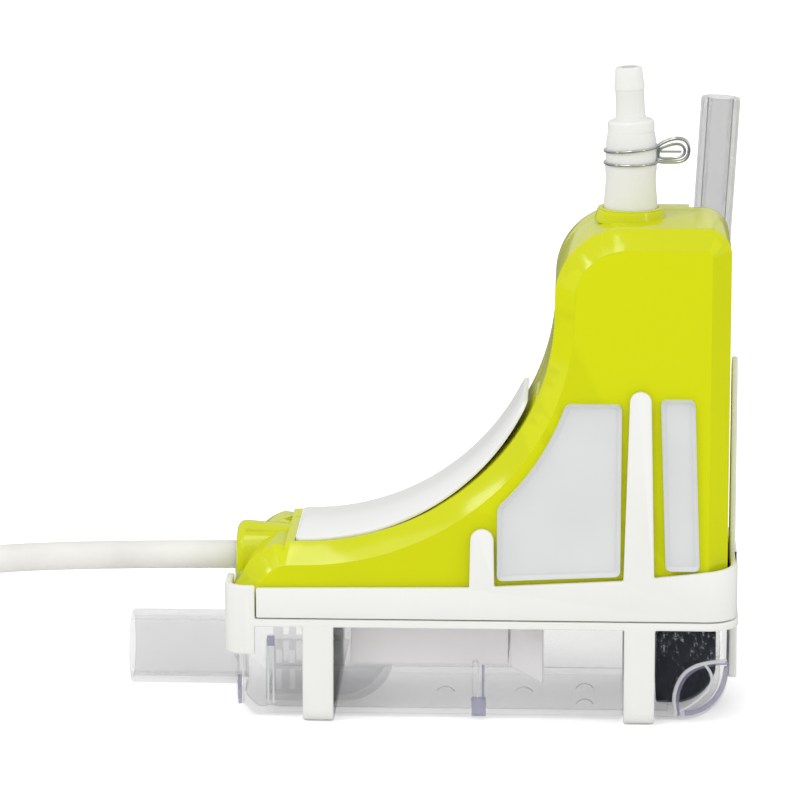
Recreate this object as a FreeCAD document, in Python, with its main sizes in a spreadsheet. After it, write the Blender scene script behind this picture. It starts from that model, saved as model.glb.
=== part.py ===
import FreeCAD, Part
import Sketcher
import math
import os
import re

# Condensate pump for an air conditioner. Millimetres. X runs from the inlet tube at the toe to the
# heel, Y from the label side to the wall side, Z up from the undersides of the cradle's straps.

SIZES = {
    # Housing, seen from the label side
    "HousingHalf": 20.5,
    "HousingWall": 2.0,
    "EdgeBevel": 4.4,
    "HeelX": 67.3,
    "ToeX": -45.0,
    "HousingTopZ": 113.9,
    "HousingBottomZ": 24.6,
    "HeelRadius": 6.0,
    "CrestX": 43.7,
    "CrestRadius": 16.0,
    "SlopeRadius": 51.0,
    "SlopeDrop": 19.6,
    "SlopeJoint": 45.0,
    "SlopeFootRadius": 58.85,
    "ToeSlope": 1.0,
    "NoseSetback": 13.0,
    "NoseRadius": 12.0,
    "NoseEnd": 160.0,
    "ToeFlareZ": 30.7,
    "PartingY": 7.8,
    "PartingGap": 0.3,
    # Cable boss and outlet collar on the housing
    "BossReach": 0.2,
    "BossRadius": 8.0,
    "BossRound": 2.0,
    "BossLength": 11.0,
    "OutletX": 44.6,
    "CollarRadius": 7.35,
    "CollarHeight": 2.1,
    # Recess for the breather hose in the far half
    "NotchLength": 9.1,
    "NotchWidth": 8.3,
    "NotchDepth": 16.9,
    "NotchWall": 1.8,
    "StubLength": 7.0,
    # Screws
    "SlopeScrewX": 24.0,
    "SlopeScrewZ": 52.0,
    "CrestScrewX": 35.2,
    "CrestScrewZ": 101.0,
    "HeelScrewX": 54.2,
    "HeelScrewZ": 106.0,
    "CoverBossRadius": 3.2,
    "CoverSeatRadius": 4.2,
    "ScrewRadius": 1.2,
    "ScrewHeadRadius": 2.6,
    "ScrewHeadHeight": 1.4,
    "ScrewClearance": 0.3,
    "CoverScrewLength": 16.0,
    "BaseScrewLength": 9.0,
    "BaseBossRadius": 2.8,
    "BaseBossHeight": 9.0,
    "BaseScrewSetback": 8.5,
    "BaseScrewHeelX": 27.0,
    "BaseScrewInset": 5.5,
    # Front panel and labels
    "PanelThick": 0.9,
    "PanelHalf": 15.0,
    "PanelSink": 0.4,
    "PanelSetback": 14.0,
    "PanelRadius": 55.4,
    "PanelTopAngle": 18.7,
    "PanelGap": 0.15,
    "LabelThick": 0.15,
    "RatingToeX": 15.1,
    "RatingHeelX": 43.0,
    "RatingLowZ": 33.6,
    "RatingTopZ": 74.6,
    "RatingTopToeX": 30.4,
    "RatingSideZ": 50.6,
    "RatingArc": 57.5,
    "SerialToeX": 53.2,
    "SerialWidth": 7.7,
    "SerialLean": 1.5,
    "SerialLowZ": 36.3,
    "SerialTopZ": 75.8,
    # Pump base
    "BaseGap": 0.2,
    "BaseThick": 2.4,
    "DeckX": 30.5,
    "DeckHalf": 14.0,
    "DeckHeight": 6.9,
    "DeckWall": 1.4,
    "WellToeX": -18.5,
    "WellHeelX": 17.7,
    "WellHalf": 13.0,
    "WellBottomZ": 11.3,
    "WellWall": 1.6,
    "FootX": 18.1,
    "FootWidth": 7.5,
    "FootY": -10.0,
    "FootBottomZ": 7.2,
    "FootRise": 4.2,
    "SpigotRadius": 2.0,
    "SpigotHeight": 4.0,
    "SpigotBore": 1.1,
    # Outlet
    "SleeveBore": 3.1,
    "SleeveRadius": 6.15,
    "SleeveNeck": 5.5,
    "SleeveTail": 5.4,
    "SleeveDepth": 23.0,
    "SleeveStand": 17.5,
    "SleeveStep": 0.5,
    "SleeveTaper": 3.6,
    "SleeveFlare": 0.1,
    "SleeveLip": 0.25,
    "SleeveLipHeight": 1.8,
    "ConnectorLean": 3.0,
    "ConnectorPlug": 5.0,
    "ConnectorFit": 0.35,
    "ConnectorSeat": 0.3,
    "ConnectorFlange": 5.3,
    "ConnectorRim": 1.6,
    "ConnectorRound": 0.3,
    "ConnectorCone": 0.5,
    "ConnectorStem": 3.25,
    "ConnectorBarb": 3.4,
    "ConnectorBarbLength": 4.9,
    "ConnectorLand": 1.2,
    "ConnectorTip": 2.95,
    "ConnectorBore": 1.9,
    "ConnectorHeight": 14.5,
    "ClipWire": 0.6,
    "ClipGap": 0.1,
    "ClipDrop": 7.3,
    "ClipSpread": 3.2,
    "ClipEarRadius": 2.9,
    "ClipEarRise": 1.0,
    # Breather hose
    "HoseRadius": 4.5,
    "HoseBore": 3.0,
    "HoseSetback": 4.4,
    "HoseInset": 3.5,
    "HoseLean": 3.1,
    "HoseLength": 41.4,
    # Wall bracket
    "BandGap": 0.45,
    "BandWall": 1.55,
    "BandSetback": 5.5,
    "BandHeelGap": 0.8,
    "BandCorner": 7.0,
    "BandToeZ": 31.5,
    "BandStep": 0.6,
    "BandMidZ": 34.0,
    "BandHeelZ": 36.9,
    "FingerRoot": 2.0,
    "TallFingerX": 43.6,
    "TallFingerWidth": 7.2,
    "TallFingerTopZ": 77.7,
    "TallFingerTip": 2.45,
    "ShortFingerX": 8.8,
    "ShortFingerWidth": 5.8,
    "ShortFingerTopZ": 45.7,
    "ShortFingerTip": 2.65,
    "HeelFingerHalf": 5.0,
    "HeelFingerTip": 3.6,
    "HeelFingerTopZ": 81.5,
    "HeelFingerThick": 1.3,
    "PlateToeX": 22.0,
    "PlateHeelX": 58.0,
    "PlateTopZ": 60.0,
    "PlateCorner": 5.0,
    "WallHoleX": 40.0,
    "WallHoleSpacing": 24.0,
    "WallHoleZ": 50.0,
    "WallHoleRadius": 2.25,
    # Cradle
    "FlangeGap": 0.3,
    "FlangeThick": 1.8,
    "FlangeToeReach": 1.9,
    "FlangeHeelReach": 2.7,
    "FlangeLip": 2.2,
    "StrapWidth": 7.0,
    "ToeStrapX": -29.0,
    "HeelStrapX": 44.0,
    "StrapWall": 1.9,
    "StrapFloor": 1.4,
    "StrapCorner": 3.0,
    "StrapInnerCorner": 1.0,
    "HookWall": 1.6,
    "HookGap": 0.35,
    "HookLegY": 10.0,
    "HookLowZ": 16.0,
    "HookTopZ": 32.0,
    "HookCorner": 5.0,
    "TabHalf": 8.0,
    "TabLowZ": 7.8,
    # Reservoir
    "TankGap": 0.3,
    "TankWall": 1.8,
    "TankSetback": 0.8,
    "TankHeelReach": 0.4,
    "TankBottomZ": 0.6,
    "TankTopGap": 0.2,
    "TankToeCut": 4.0,
    "TankHeelRadius": 10.7,
    "TankEdgeRadius": 2.2,
    "GrooveGap": 0.2,
    "InletRadius": 8.6,
    "InletBore": 7.1,
    "InletZ": 11.75,
    "InletLength": 25.8,
    "InletCollarRadius": 10.4,
    "InletCollarReach": 0.9,
    "LugY": 12.5,
    "LugWidth": 3.0,
    "LugRise": 0.8,
    "LugHeight": 2.4,
    "LugReach": 1.0,
    "ColumnSetback": 6.9,
    "ColumnWidth": 1.7,
    "ColumnReachY": 17.0,
    "ColumnTopZ": 19.5,
    "BaffleToeX": 9.6,
    "BaffleTopZ": 13.7,
    "PostToeX": 9.4,
    "PostWidth": 3.2,
    "PostReachY": 15.5,
    "PostTopZ": 4.5,
    "RibThick": 1.2,
    "RibRadius": 6.8,
    "SwanToeX": 54.2,
    "SwanBendZ": 7.8,
    "SwanGap": 1.5,
    # Filter basket
    "BasketSetback": 6.2,
    "BasketStepX": -20.0,
    "BasketHalf": 13.0,
    "BasketWall": 1.2,
    "BasketTopZ": 17.0,
    "BasketSlots": 5,
    "BasketSlotWidth": 1.4,
    "BasketBar": 1.2,
    "ScoopLength": 11.0,
    "ScoopTopZ": 10.6,
    "ScoopRadius": 11.6,
    # Float
    "FloatToeX": 51.5,
    "FloatGap": 0.8,
    "FloatHalf": 12.0,
    "FloatBottomZ": 2.7,
    "FloatTopZ": 19.6,
    "FloatHeelCut": 8.0,
    "FloatHeelRadius": 10.0,
    "MagnetRadius": 2.5,
    "MagnetHeight": 3.0,
    "MagnetGap": 0.05,
    # Motor
    "MotorRadius": 11.0,
    "MotorWall": 0.8,
    "MountFloor": 1.5,
    "MotorLength": 30.0,
    "CanLid": 1.2,
    "CapThick": 2.0,
    "BearingRadius": 2.6,
    "BearingHeight": 1.0,
    "MagnetRingBore": 8.0,
    "MagnetRingRise": 7.0,
    "MagnetRingLength": 18.0,
    "ShaftRadius": 1.0,
    "ShaftClearance": 0.05,
    "ShaftFoot": 1.0,
    "ShaftEndPlay": 0.1,
    "RotorRadius": 7.5,
    "RotorLength": 17.0,
    "CommutatorRadius": 3.0,
    "CommutatorLength": 4.0,
    "MountRadius": 13.6,
    "MountDepth": 2.4,
    "MountGap": 0.1,
    # Pump head
    "HeadRadius": 13.8,
    "CageBore": 11.0,
    "CageFloor": 1.5,
    "CageHeight": 11.3,
    "CrankRadius": 4.5,
    "CrankHeight": 3.0,
    "CrankGap": 0.5,
    "CrankCap": 0.5,
    "CrankOffset": 1.6,
    "CrankPinRadius": 1.0,
    "CrankPinLength": 3.0,
    "PlateRadius": 9.5,
    "PlateThick": 2.5,
    "SocketRadius": 3.4,
    "SocketWall": 1.6,
    "SocketSkirt": 1.0,
    "BallRadius": 1.0,
    "BallNeck": 0.5,
    "BallGap": 0.3,
    "DiaphragmThick": 1.5,
    "CupRadius": 3.4,
    "CupHeight": 2.6,
    "CupPitch": 6.5,
    "CupGap": 0.5,
    "ChamberHeight": 8.2,
    "PortRadius": 0.9,
    "ValveThick": 0.8,
    "CoverHeight": 5.2,
    "NozzleRadius": 3.05,
    "NozzleHeight": 10.0,
    "NozzleBore": 1.8,
    "ElbowSetback": 5.3,
    "ElbowRadius": 2.4,
    "ElbowDrop": 8.0,
    "HeadScrewPitch": 12.3,
    "HeadScrewRadius": 0.9,
    "HeadScrewHead": 1.5,
    "HeadScrewHeadHeight": 1.2,
    "HeadScrewGrip": 6.0,
    "HeadScrewGap": 0.1,
    "BufferHalf": 5.0,
    "BufferLowZ": 78.0,
    "BufferHeight": 6.0,
    "SuctionRadius": 2.6,
    "SuctionGap": 0.05,
    "SuctionPassZ": 42.0,
    "SuctionClimb": 18.0,
    "SuctionStep": 4.0,
    # Electronics
    "BoardSetback": 15.0,
    "BoardHeelX": 17.5,
    "BoardHalf": 15.0,
    "BoardRise": 4.0,
    "BoardThick": 1.6,
    "BoardRibWidth": 2.0,
    "TerminalInset": 0.5,
    "TerminalLength": 6.0,
    "TerminalHalf": 7.0,
    "TerminalHeight": 6.3,
    "RelayToeX": -21.0,
    "RelayLength": 14.0,
    "RelayY": 3.0,
    "RelayWidth": 10.0,
    "RelayHeight": 7.8,
    "CapacitorRadius": 3.5,
    "CapacitorLength": 12.0,
    "CapacitorY": -11.5,
    "CapacitorPitch": 7.7,
    "TransformerToeX": -2.0,
    "TransformerLength": 15.0,
    "TransformerHalf": 8.0,
    "TransformerHeight": 13.3,
    "SensorHalf": 12.0,
    "SensorThick": 1.6,
    "SensorGap": 0.3,
    "CoreRadius": 0.7,
    "CoreSpread": 1.3,
    "CoreGap": 0.1,
    # Lead
    "CableRadius": 3.25,
    "CableZ": 33.85,
    "CableSetback": 7.0,
    "GlandRadius": 4.5,
    "GlandSetback": 8.0,
    "GlandGrip": 0.05,
    "HankHeelX": -127.0,
    "HankY": 12.0,
    "HankRun": 54.0,
    "HankBend": 19.5,
    "HankLanes": 2,
    "HankLayers": 3,
    "HankJoin": 10.0,
    "TieWidth": 6.0,
    "TieThick": 0.8,
    "CoreSector": 72.0,
}

# Places that follow from the sizes, each before the places that it is worked out from
SUMS = {
    "NoseX": "(ToeX + NoseSetback)",
    "SlopeTopZ": "(HousingTopZ - SlopeDrop)",
    "BossX": "(ToeX - BossReach)",
    "NotchX": "(HeelX - NotchLength)",
    "NotchY": "(HousingHalf - NotchWidth)",
    "NotchZ": "(HousingTopZ - NotchDepth)",
    "BaseScrewToeX": "(ToeX + BaseScrewSetback)",
    "BaseScrewY": "(HousingHalf - BaseScrewInset)",
    "PanelToeX": "(ToeX + PanelSetback)",
    "SleeveBottomZ": "(CollarTopZ - SleeveDepth)",
    "ConnectorTopZ": "(SleeveTopZ + ConnectorHeight)",
    "ClipHighZ": "(ClipLowZ + ClipSpread)",
    "HoseX": "(HeelX - HoseSetback)",
    "HoseY": "(HousingHalf - HoseInset)",
    "BandHeelX": "(HeelX + BandHeelGap + BandWall)",
    "FlangeToeX": "(ToeX - FlangeToeReach)",
    "FlangeHeelX": "(HeelX + FlangeHeelReach)",
    "FlangeOpenToeX": "(TankToeX + FlangeLip)",
    "FlangeOpenHeelX": "(TankHeelX - FlangeLip)",
    "FlangeOpenHalf": "(TankHalf - FlangeLip)",
    "HookHeelX": "(BandToeX - HookGap)",
    "TankHalf": "(BandHalf - StrapWall - TankGap)",
    "TankTopZ": "(FlangeLowZ - TankTopGap)",
    "InletEndX": "(TankToeX - InletLength)",
    "ColumnToeX": "(TankToeX + ColumnSetback)",
    "BasketToeX": "(TankToeX + BasketSetback)",
    "FloatHeelX": "(TankHeelX - TankWall - FloatGap)",
    "MagnetRingLowZ": "(MotorBottomZ + MagnetRingRise)",
    "ElbowX": "(HeelX - ElbowSetback)",
    "BoardToeX": "(ToeX + BoardSetback)",
    "BoardZ": "(HousingBottomZ + BoardRise)",
    "CableStartX": "(ToeX + CableSetback)",
    "GlandBackX": "(ToeX + GlandSetback)",
    "ClipLowZ": "(SleeveTopZ - ClipDrop)",
    "BandHalf": "(HousingHalf + BandGap + BandWall)",
    "BandToeX": "(ToeX + BandSetback)",
    "FlangeLowZ": "(HousingBottomZ - FlangeGap - FlangeThick)",
    "TankToeX": "(ToeX + TankSetback)",
    "TankHeelX": "(HeelX + TankHeelReach)",
    "MotorBottomZ": "(DeckTopZ + MountFloor)",
    "DeckTopZ": "(HousingBottomZ + DeckHeight)",
    "SleeveTopZ": "(CollarTopZ + SleeveStand)",
    "CollarTopZ": "(HousingTopZ + CollarHeight)",
}

doc = FreeCAD.newDocument("CondensatePump")
sheet = doc.addObject("Spreadsheet::Sheet", "Sizes")
for row, (alias, size) in enumerate(SIZES.items(), 1):
    sheet.set(f"A{row}", alias)
    sheet.set(f"B{row}", str(size))
    sheet.setAlias(f"B{row}", alias)
doc.recompute()

nodes = []
V = FreeCAD.Vector


def cells(text):
    """The same sum with each place worked out and each alias read from the sheet."""
    text = str(text)
    for name, total in SUMS.items():
        text = re.sub(rf"\b{name}\b", total, text)
    return re.sub(r"\b([A-Z][A-Za-z]+)", r"Sizes.\1", text)


def value(text):
    result = sheet.evalExpression(cells(text))
    return float(getattr(result, "Value", result))


def bind(item, prop, text):
    item.setExpression(prop, cells(text))


def place(item, x=0, y=0, z=0, axis=None, angle=0):
    """Puts a piece at x, y, z, turned about an axis."""
    turn = FreeCAD.Rotation(V(*axis), value(angle)) if axis else FreeCAD.Rotation()
    item.Placement = FreeCAD.Placement(V(0, 0, 0), turn)
    for letter, text in zip("xyz", (x, y, z)):
        bind(item, f"Placement.Base.{letter}", text)
    return item


def node(item):
    """Marks a finished sub-part, which is written to a file of its own."""
    nodes.append(item)
    return item


# Sketches and solids

PLANES = {"top": "XY_Plane", "side": "XZ_Plane", "end": "YZ_Plane"}


def sketch(body, view, corners, arcs=None, level=0):
    """Closed outline; arcs gives (radius, 1 left or -1 right) for the edge after a corner."""
    arcs = arcs or {}
    drawing = body.newObject("Sketcher::SketchObject", body.Name + "_outline")
    plane = [item for item in body.Origin.OriginFeatures if item.Role == PLANES[view]][0]
    drawing.AttachmentSupport = [(plane, "")]
    drawing.MapMode = "FlatFace"
    bind(drawing, "AttachmentOffset.Base.z", level)
    points = [V(value(u), value(w), 0) for u, w in corners]
    ends = []
    for number, start in enumerate(points):
        finish = points[(number + 1) % len(points)]
        if number not in arcs:
            drawing.addGeometry(Part.LineSegment(start, finish), False)
            ends.append((1, 2))
            continue
        radius, side = value(arcs[number][0]), arcs[number][1]
        chord = finish - start
        rise = math.sqrt(max(radius ** 2 - (chord.Length / 2) ** 2, 0))
        left = V(-chord.y, chord.x, 0) / chord.Length
        centre = (start + finish) / 2 + left * rise * side
        angles = [math.atan2(p.y - centre.y, p.x - centre.x) for p in (start, finish)]
        circle = Part.Circle(centre, V(0, 0, 1), radius)
        drawing.addGeometry(Part.ArcOfCircle(circle, *angles[::side]), False)
        ends.append((1, 2) if side > 0 else (2, 1))
    for number, (u, w) in enumerate(corners):
        following = (number + 1) % len(corners)
        join_at = (number, ends[number][1], following, ends[following][0])
        drawing.addConstraint(Sketcher.Constraint("Coincident", *join_at))
        for kind, text in (("DistanceX", u), ("DistanceY", w)):
            limit = Sketcher.Constraint(kind, -1, 1, number, ends[number][0], value(text))
            bind(drawing, f"Constraints[{drawing.addConstraint(limit)}]", text)
        if number in arcs:
            limit = Sketcher.Constraint("Radius", number, value(arcs[number][0]))
            bind(drawing, f"Constraints[{drawing.addConstraint(limit)}]", arcs[number][0])
    return drawing


def slab(name, view, corners, low, high, arcs=None):
    """Body with one pad of the outline from low to high along the view's own axis."""
    body = doc.addObject("PartDesign::Body", name)
    start = f"-({high})" if view == "side" else low
    drawing = sketch(body, view, corners, arcs, start)
    pad = body.newObject("PartDesign::Pad", name + "_pad")
    pad.Profile = drawing
    bind(pad, "Length", f"({high}) - ({low})")
    return body


def turned(name, corners, arcs=None):
    """Body turned about its own Z axis from an outline in radius and height."""
    body = doc.addObject("PartDesign::Body", name)
    drawing = sketch(body, "side", corners, arcs)
    spin = body.newObject("PartDesign::Revolution", name + "_turn")
    spin.Profile = drawing
    spin.ReferenceAxis = (drawing, ["V_Axis"])
    spin.Angle = 360
    return body


def block(name, xs, ys, zs):
    item = doc.addObject("Part::Box", name)
    for side, (low, high) in zip(("Length", "Width", "Height"), (xs, ys, zs)):
        bind(item, side, f"({high}) - ({low})")
    return place(item, xs[0], ys[0], zs[0])


AXES = {"x": ((0, 1, 0), 90), "y": ((1, 0, 0), -90), "z": (None, 0)}


def rod(name, along, centre, radius, low, high):
    """Cylinder along an axis from low to high; centre is its place on the other two axes."""
    item = doc.addObject("Part::Cylinder", name)
    bind(item, "Radius", radius)
    bind(item, "Height", f"({high}) - ({low})")
    spot = list(centre)
    spot.insert("xyz".index(along), low)
    return place(item, *spot, *AXES[along])


def join(name, *pieces):
    item = doc.addObject("Part::MultiFuse", name)
    item.Shapes = list(pieces)
    return item


def cut(name, base, *tools):
    item = doc.addObject("Part::Cut", name)
    item.Base = base
    item.Tool = tools[0] if len(tools) == 1 else join(name + "_tools", *tools)
    return item


def common(name, *pieces):
    item = doc.addObject("Part::MultiCommon", name)
    item.Shapes = list(pieces)
    return item


def group(name, pieces):
    item = doc.addObject("Part::Compound", name)
    item.Links = list(pieces)
    return item


def copy_at(source, name, x=0, y=0, z=0, axis=None, angle=0):
    """Another of the same piece, in its own place."""
    item = doc.addObject("Part::Compound", name)
    item.Links = [source]
    return place(item, x, y, z, axis, angle)


def soften(body, kind, size, chosen):
    """Fillet or chamfer of the edges that the test picks."""
    doc.recompute()
    tip = body.Tip
    picked = [f"Edge{n}" for n, edge in enumerate(tip.Shape.Edges, 1) if chosen(edge)]
    feature = body.newObject("PartDesign::" + kind, f"{body.Name}_{kind.lower()}")
    feature.Base = (tip, picked)
    bind(feature, "Size" if kind == "Chamfer" else "Radius", size)
    return feature


def at_level(edge, letter, level):
    box = edge.BoundBox
    low, high = getattr(box, letter + "Min"), getattr(box, letter + "Max")
    return abs(low - level) < 0.01 and abs(high - level) < 0.01


def bent_wire(points, share=0.45):
    """Straight runs joined by tangent arcs, each as large as its shorter run allows."""
    starts, radii, edges = [points[0]], [], []
    for before, corner, after in zip(points, points[1:], points[2:]):
        back, ahead = before - corner, after - corner
        reach = share * min(back.Length, ahead.Length)
        turn = math.pi - back.getAngle(ahead)
        radius = reach / math.tan(turn / 2)
        radii.append(radius)
        back.normalize()
        ahead.normalize()
        inward = (back + ahead).normalize()
        depth = radius / math.cos(turn / 2) - radius
        first, last = corner + back * reach, corner + ahead * reach
        edges.append(Part.LineSegment(starts[-1], first).toShape())
        edges.append(Part.Arc(first, corner + inward * depth, last).toShape())
        starts.append(last)
    edges.append(Part.LineSegment(starts[-1], points[-1]).toShape())
    return Part.Wire(edges), radii


def tube_along(points, radius):
    """Solid round bar along the points, with its volume checked against section times length."""
    wire, radii = bent_wire(points)
    ring = Part.Circle(points[0], points[1] - points[0], radius).toShape()
    bar = wire.makePipeShell([Part.Wire([ring])], True, False)
    wanted = math.pi * radius ** 2 * wire.Length
    if abs(bar.Volume / wanted - 1) > 0.01:
        raise ValueError("A bent tube has lost its section")
    return bar, wire.Length, radii


# Housing

SLOPE_X = "(CrestX - CrestRadius - SlopeRadius)"
FOOT_X = f"({SLOPE_X} - (SlopeFootRadius - SlopeRadius) * sin(SlopeJoint))"
FOOT_Z = "(SlopeTopZ + (SlopeFootRadius - SlopeRadius) * cos(SlopeJoint))"
SLOPE_END_X = f"({FOOT_X} + SlopeFootRadius * sin(ToeSlope))"
SLOPE_END_Z = f"({FOOT_Z} - SlopeFootRadius * cos(ToeSlope))"
NOSE_Z = f"({SLOPE_END_Z} - ({SLOPE_END_X} - NoseX) * tan(ToeSlope))"
NOSE_CENTRE_X = "(NoseX + NoseRadius * sin(ToeSlope))"
NOSE_CENTRE_Z = f"({NOSE_Z} - NoseRadius * cos(ToeSlope))"
CORE_BEVEL = "(EdgeBevel - HousingWall * (2 - sqrt(2)))"
BASE_TOP = "(HousingBottomZ + BaseThick)"


def housing_outline(inset, floor):
    """Boot-shaped outline of the housing, moved inwards by inset, with its flat sole at floor."""
    corners = [
        (f"ToeX + {inset}", floor),
        (f"HeelX - {inset}", floor),
        (f"HeelX - {inset}", "HousingTopZ - HeelRadius"),
        ("HeelX - HeelRadius", f"HousingTopZ - {inset}"),
        ("CrestX", f"HousingTopZ - {inset}"),
        (f"CrestX - CrestRadius + {inset}", "HousingTopZ - CrestRadius"),
        (f"{SLOPE_X} + SlopeRadius + {inset}", "SlopeTopZ"),
        (f"{SLOPE_X} + (SlopeRadius + {inset}) * sin(SlopeJoint)",
         f"SlopeTopZ - (SlopeRadius + {inset}) * cos(SlopeJoint)"),
        (f"{FOOT_X} + (SlopeFootRadius + {inset}) * sin(ToeSlope)",
         f"{FOOT_Z} - (SlopeFootRadius + {inset}) * cos(ToeSlope)"),
        (f"NoseX + {inset} * sin(ToeSlope)", f"{NOSE_Z} - {inset} * cos(ToeSlope)"),
        (f"{NOSE_CENTRE_X} + (NoseRadius - {inset}) * cos(NoseEnd)",
         f"{NOSE_CENTRE_Z} + (NoseRadius - {inset}) * sin(NoseEnd)"),
        (f"ToeX + {inset}", "ToeFlareZ"),
    ]
    arcs = {
        2: (f"HeelRadius - {inset}", 1),
        4: (f"CrestRadius - {inset}", 1),
        6: (f"SlopeRadius + {inset}", -1),
        7: (f"SlopeFootRadius + {inset}", -1),
        9: (f"NoseRadius - {inset}", 1),
    }
    return corners, arcs


def bevelled_form(name, inset, floor, half, bevel):
    corners, arcs = housing_outline(inset, floor)
    body = slab(name, "side", corners, f"-({half})", half, arcs)
    side, sole = value(half), value(floor)

    def on_rim(edge):
        return (at_level(edge, "Y", side) or at_level(edge, "Y", -side)) and not at_level(edge, "Z", sole)

    soften(body, "Chamfer", bevel, on_rim)
    return body


def panel_profile(grow):
    """Side view of the front panel: straight at the toe, then an arc flatter than the slope."""
    centre_x = f"({SLOPE_END_X} + PanelSink * sin(ToeSlope) - PanelRadius * sin(ToeSlope))"
    centre_z = f"({SLOPE_END_Z} - PanelSink * cos(ToeSlope) + PanelRadius * cos(ToeSlope))"
    outer = f"(PanelRadius + {grow})"
    inner = f"(PanelRadius - PanelThick - {grow})"
    toe_x = f"(PanelToeX - {grow})"

    def on_arc(radius, angle):
        return f"{centre_x} + {radius} * cos({angle})", f"{centre_z} - {radius} * sin({angle})"

    def at_toe(radius):
        x, z = on_arc(radius, "(90 - ToeSlope)")
        return toe_x, f"{z} - ({x} - {toe_x}) * tan(ToeSlope)"

    corners = [
        at_toe(outer),
        on_arc(outer, "(90 - ToeSlope)"),
        on_arc(outer, "PanelTopAngle"),
        on_arc(inner, "PanelTopAngle"),
        on_arc(inner, "(90 - ToeSlope)"),
        at_toe(inner),
    ]
    return corners, {1: (outer, 1), 3: (inner, -1)}


def front_panel():
    corners, arcs = panel_profile("0")
    body = slab("front_panel", "side", corners, "-PanelHalf", "PanelHalf", arcs)
    half = value("PanelHalf")

    def at_corner(edge):
        box = edge.BoundBox
        across = box.YLength < 0.01 and abs(abs(box.YMin) - half) < 0.01
        return across and edge.Length < 2 * value("PanelThick")

    soften(body, "Fillet", "2 * PanelThick", at_corner)
    return node(body)


COVER_SCREWS = [(f"{spot}ScrewX", f"{spot}ScrewZ") for spot in ("Slope", "Crest", "Heel")]


def hose_notch(name, grow, top):
    """Space of the breather hose at the far top corner of the heel."""
    return block(name, (f"NotchX - {grow}", "HeelX + HousingHalf"), (f"NotchY - {grow}", "2 * HousingHalf"),
                 (f"NotchZ - {grow}", top))


def leaning_rod(name, radius, low, high):
    """Cylinder on the breather hose's leaning axis, low and high measured from the recess floor."""
    item = doc.addObject("Part::Cylinder", name)
    bind(item, "Radius", radius)
    bind(item, "Height", f"({high}) - ({low})")
    return place(item, f"HoseX + ({low}) * sin(HoseLean)", "HoseY",
                 f"NotchZ + ({low}) * cos(HoseLean)", (0, 1, 0), "HoseLean")


def base_boss(name, x, side):
    """Screw boss under the shell's toe or waist, with a web to the side wall."""
    y = f"({side}) * BaseScrewY"
    wall_y = f"({side}) * (HousingHalf - HousingWall / 2)"
    low, high = (wall_y, y) if side < 0 else (y, wall_y)
    post = rod(name + "_post", "z", (x, y), "BaseBossRadius", BASE_TOP, f"{BASE_TOP} + BaseBossHeight")
    web = block(name + "_web", (f"{x} - ScrewRadius", f"{x} + ScrewRadius"), (low, high),
                (BASE_TOP, f"{BASE_TOP} + BaseBossHeight"))
    return join(name, post, web)


def screw(name, radius, head, head_height, length):
    """Pan head screw, pointing up its own Z axis with the head's outer face at zero."""
    corners = [
        ("0", "0"), (head, "0"), (head, head_height), (radius, head_height),
        (radius, length), ("0", length),
    ]
    return turned(name, corners)


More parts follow.
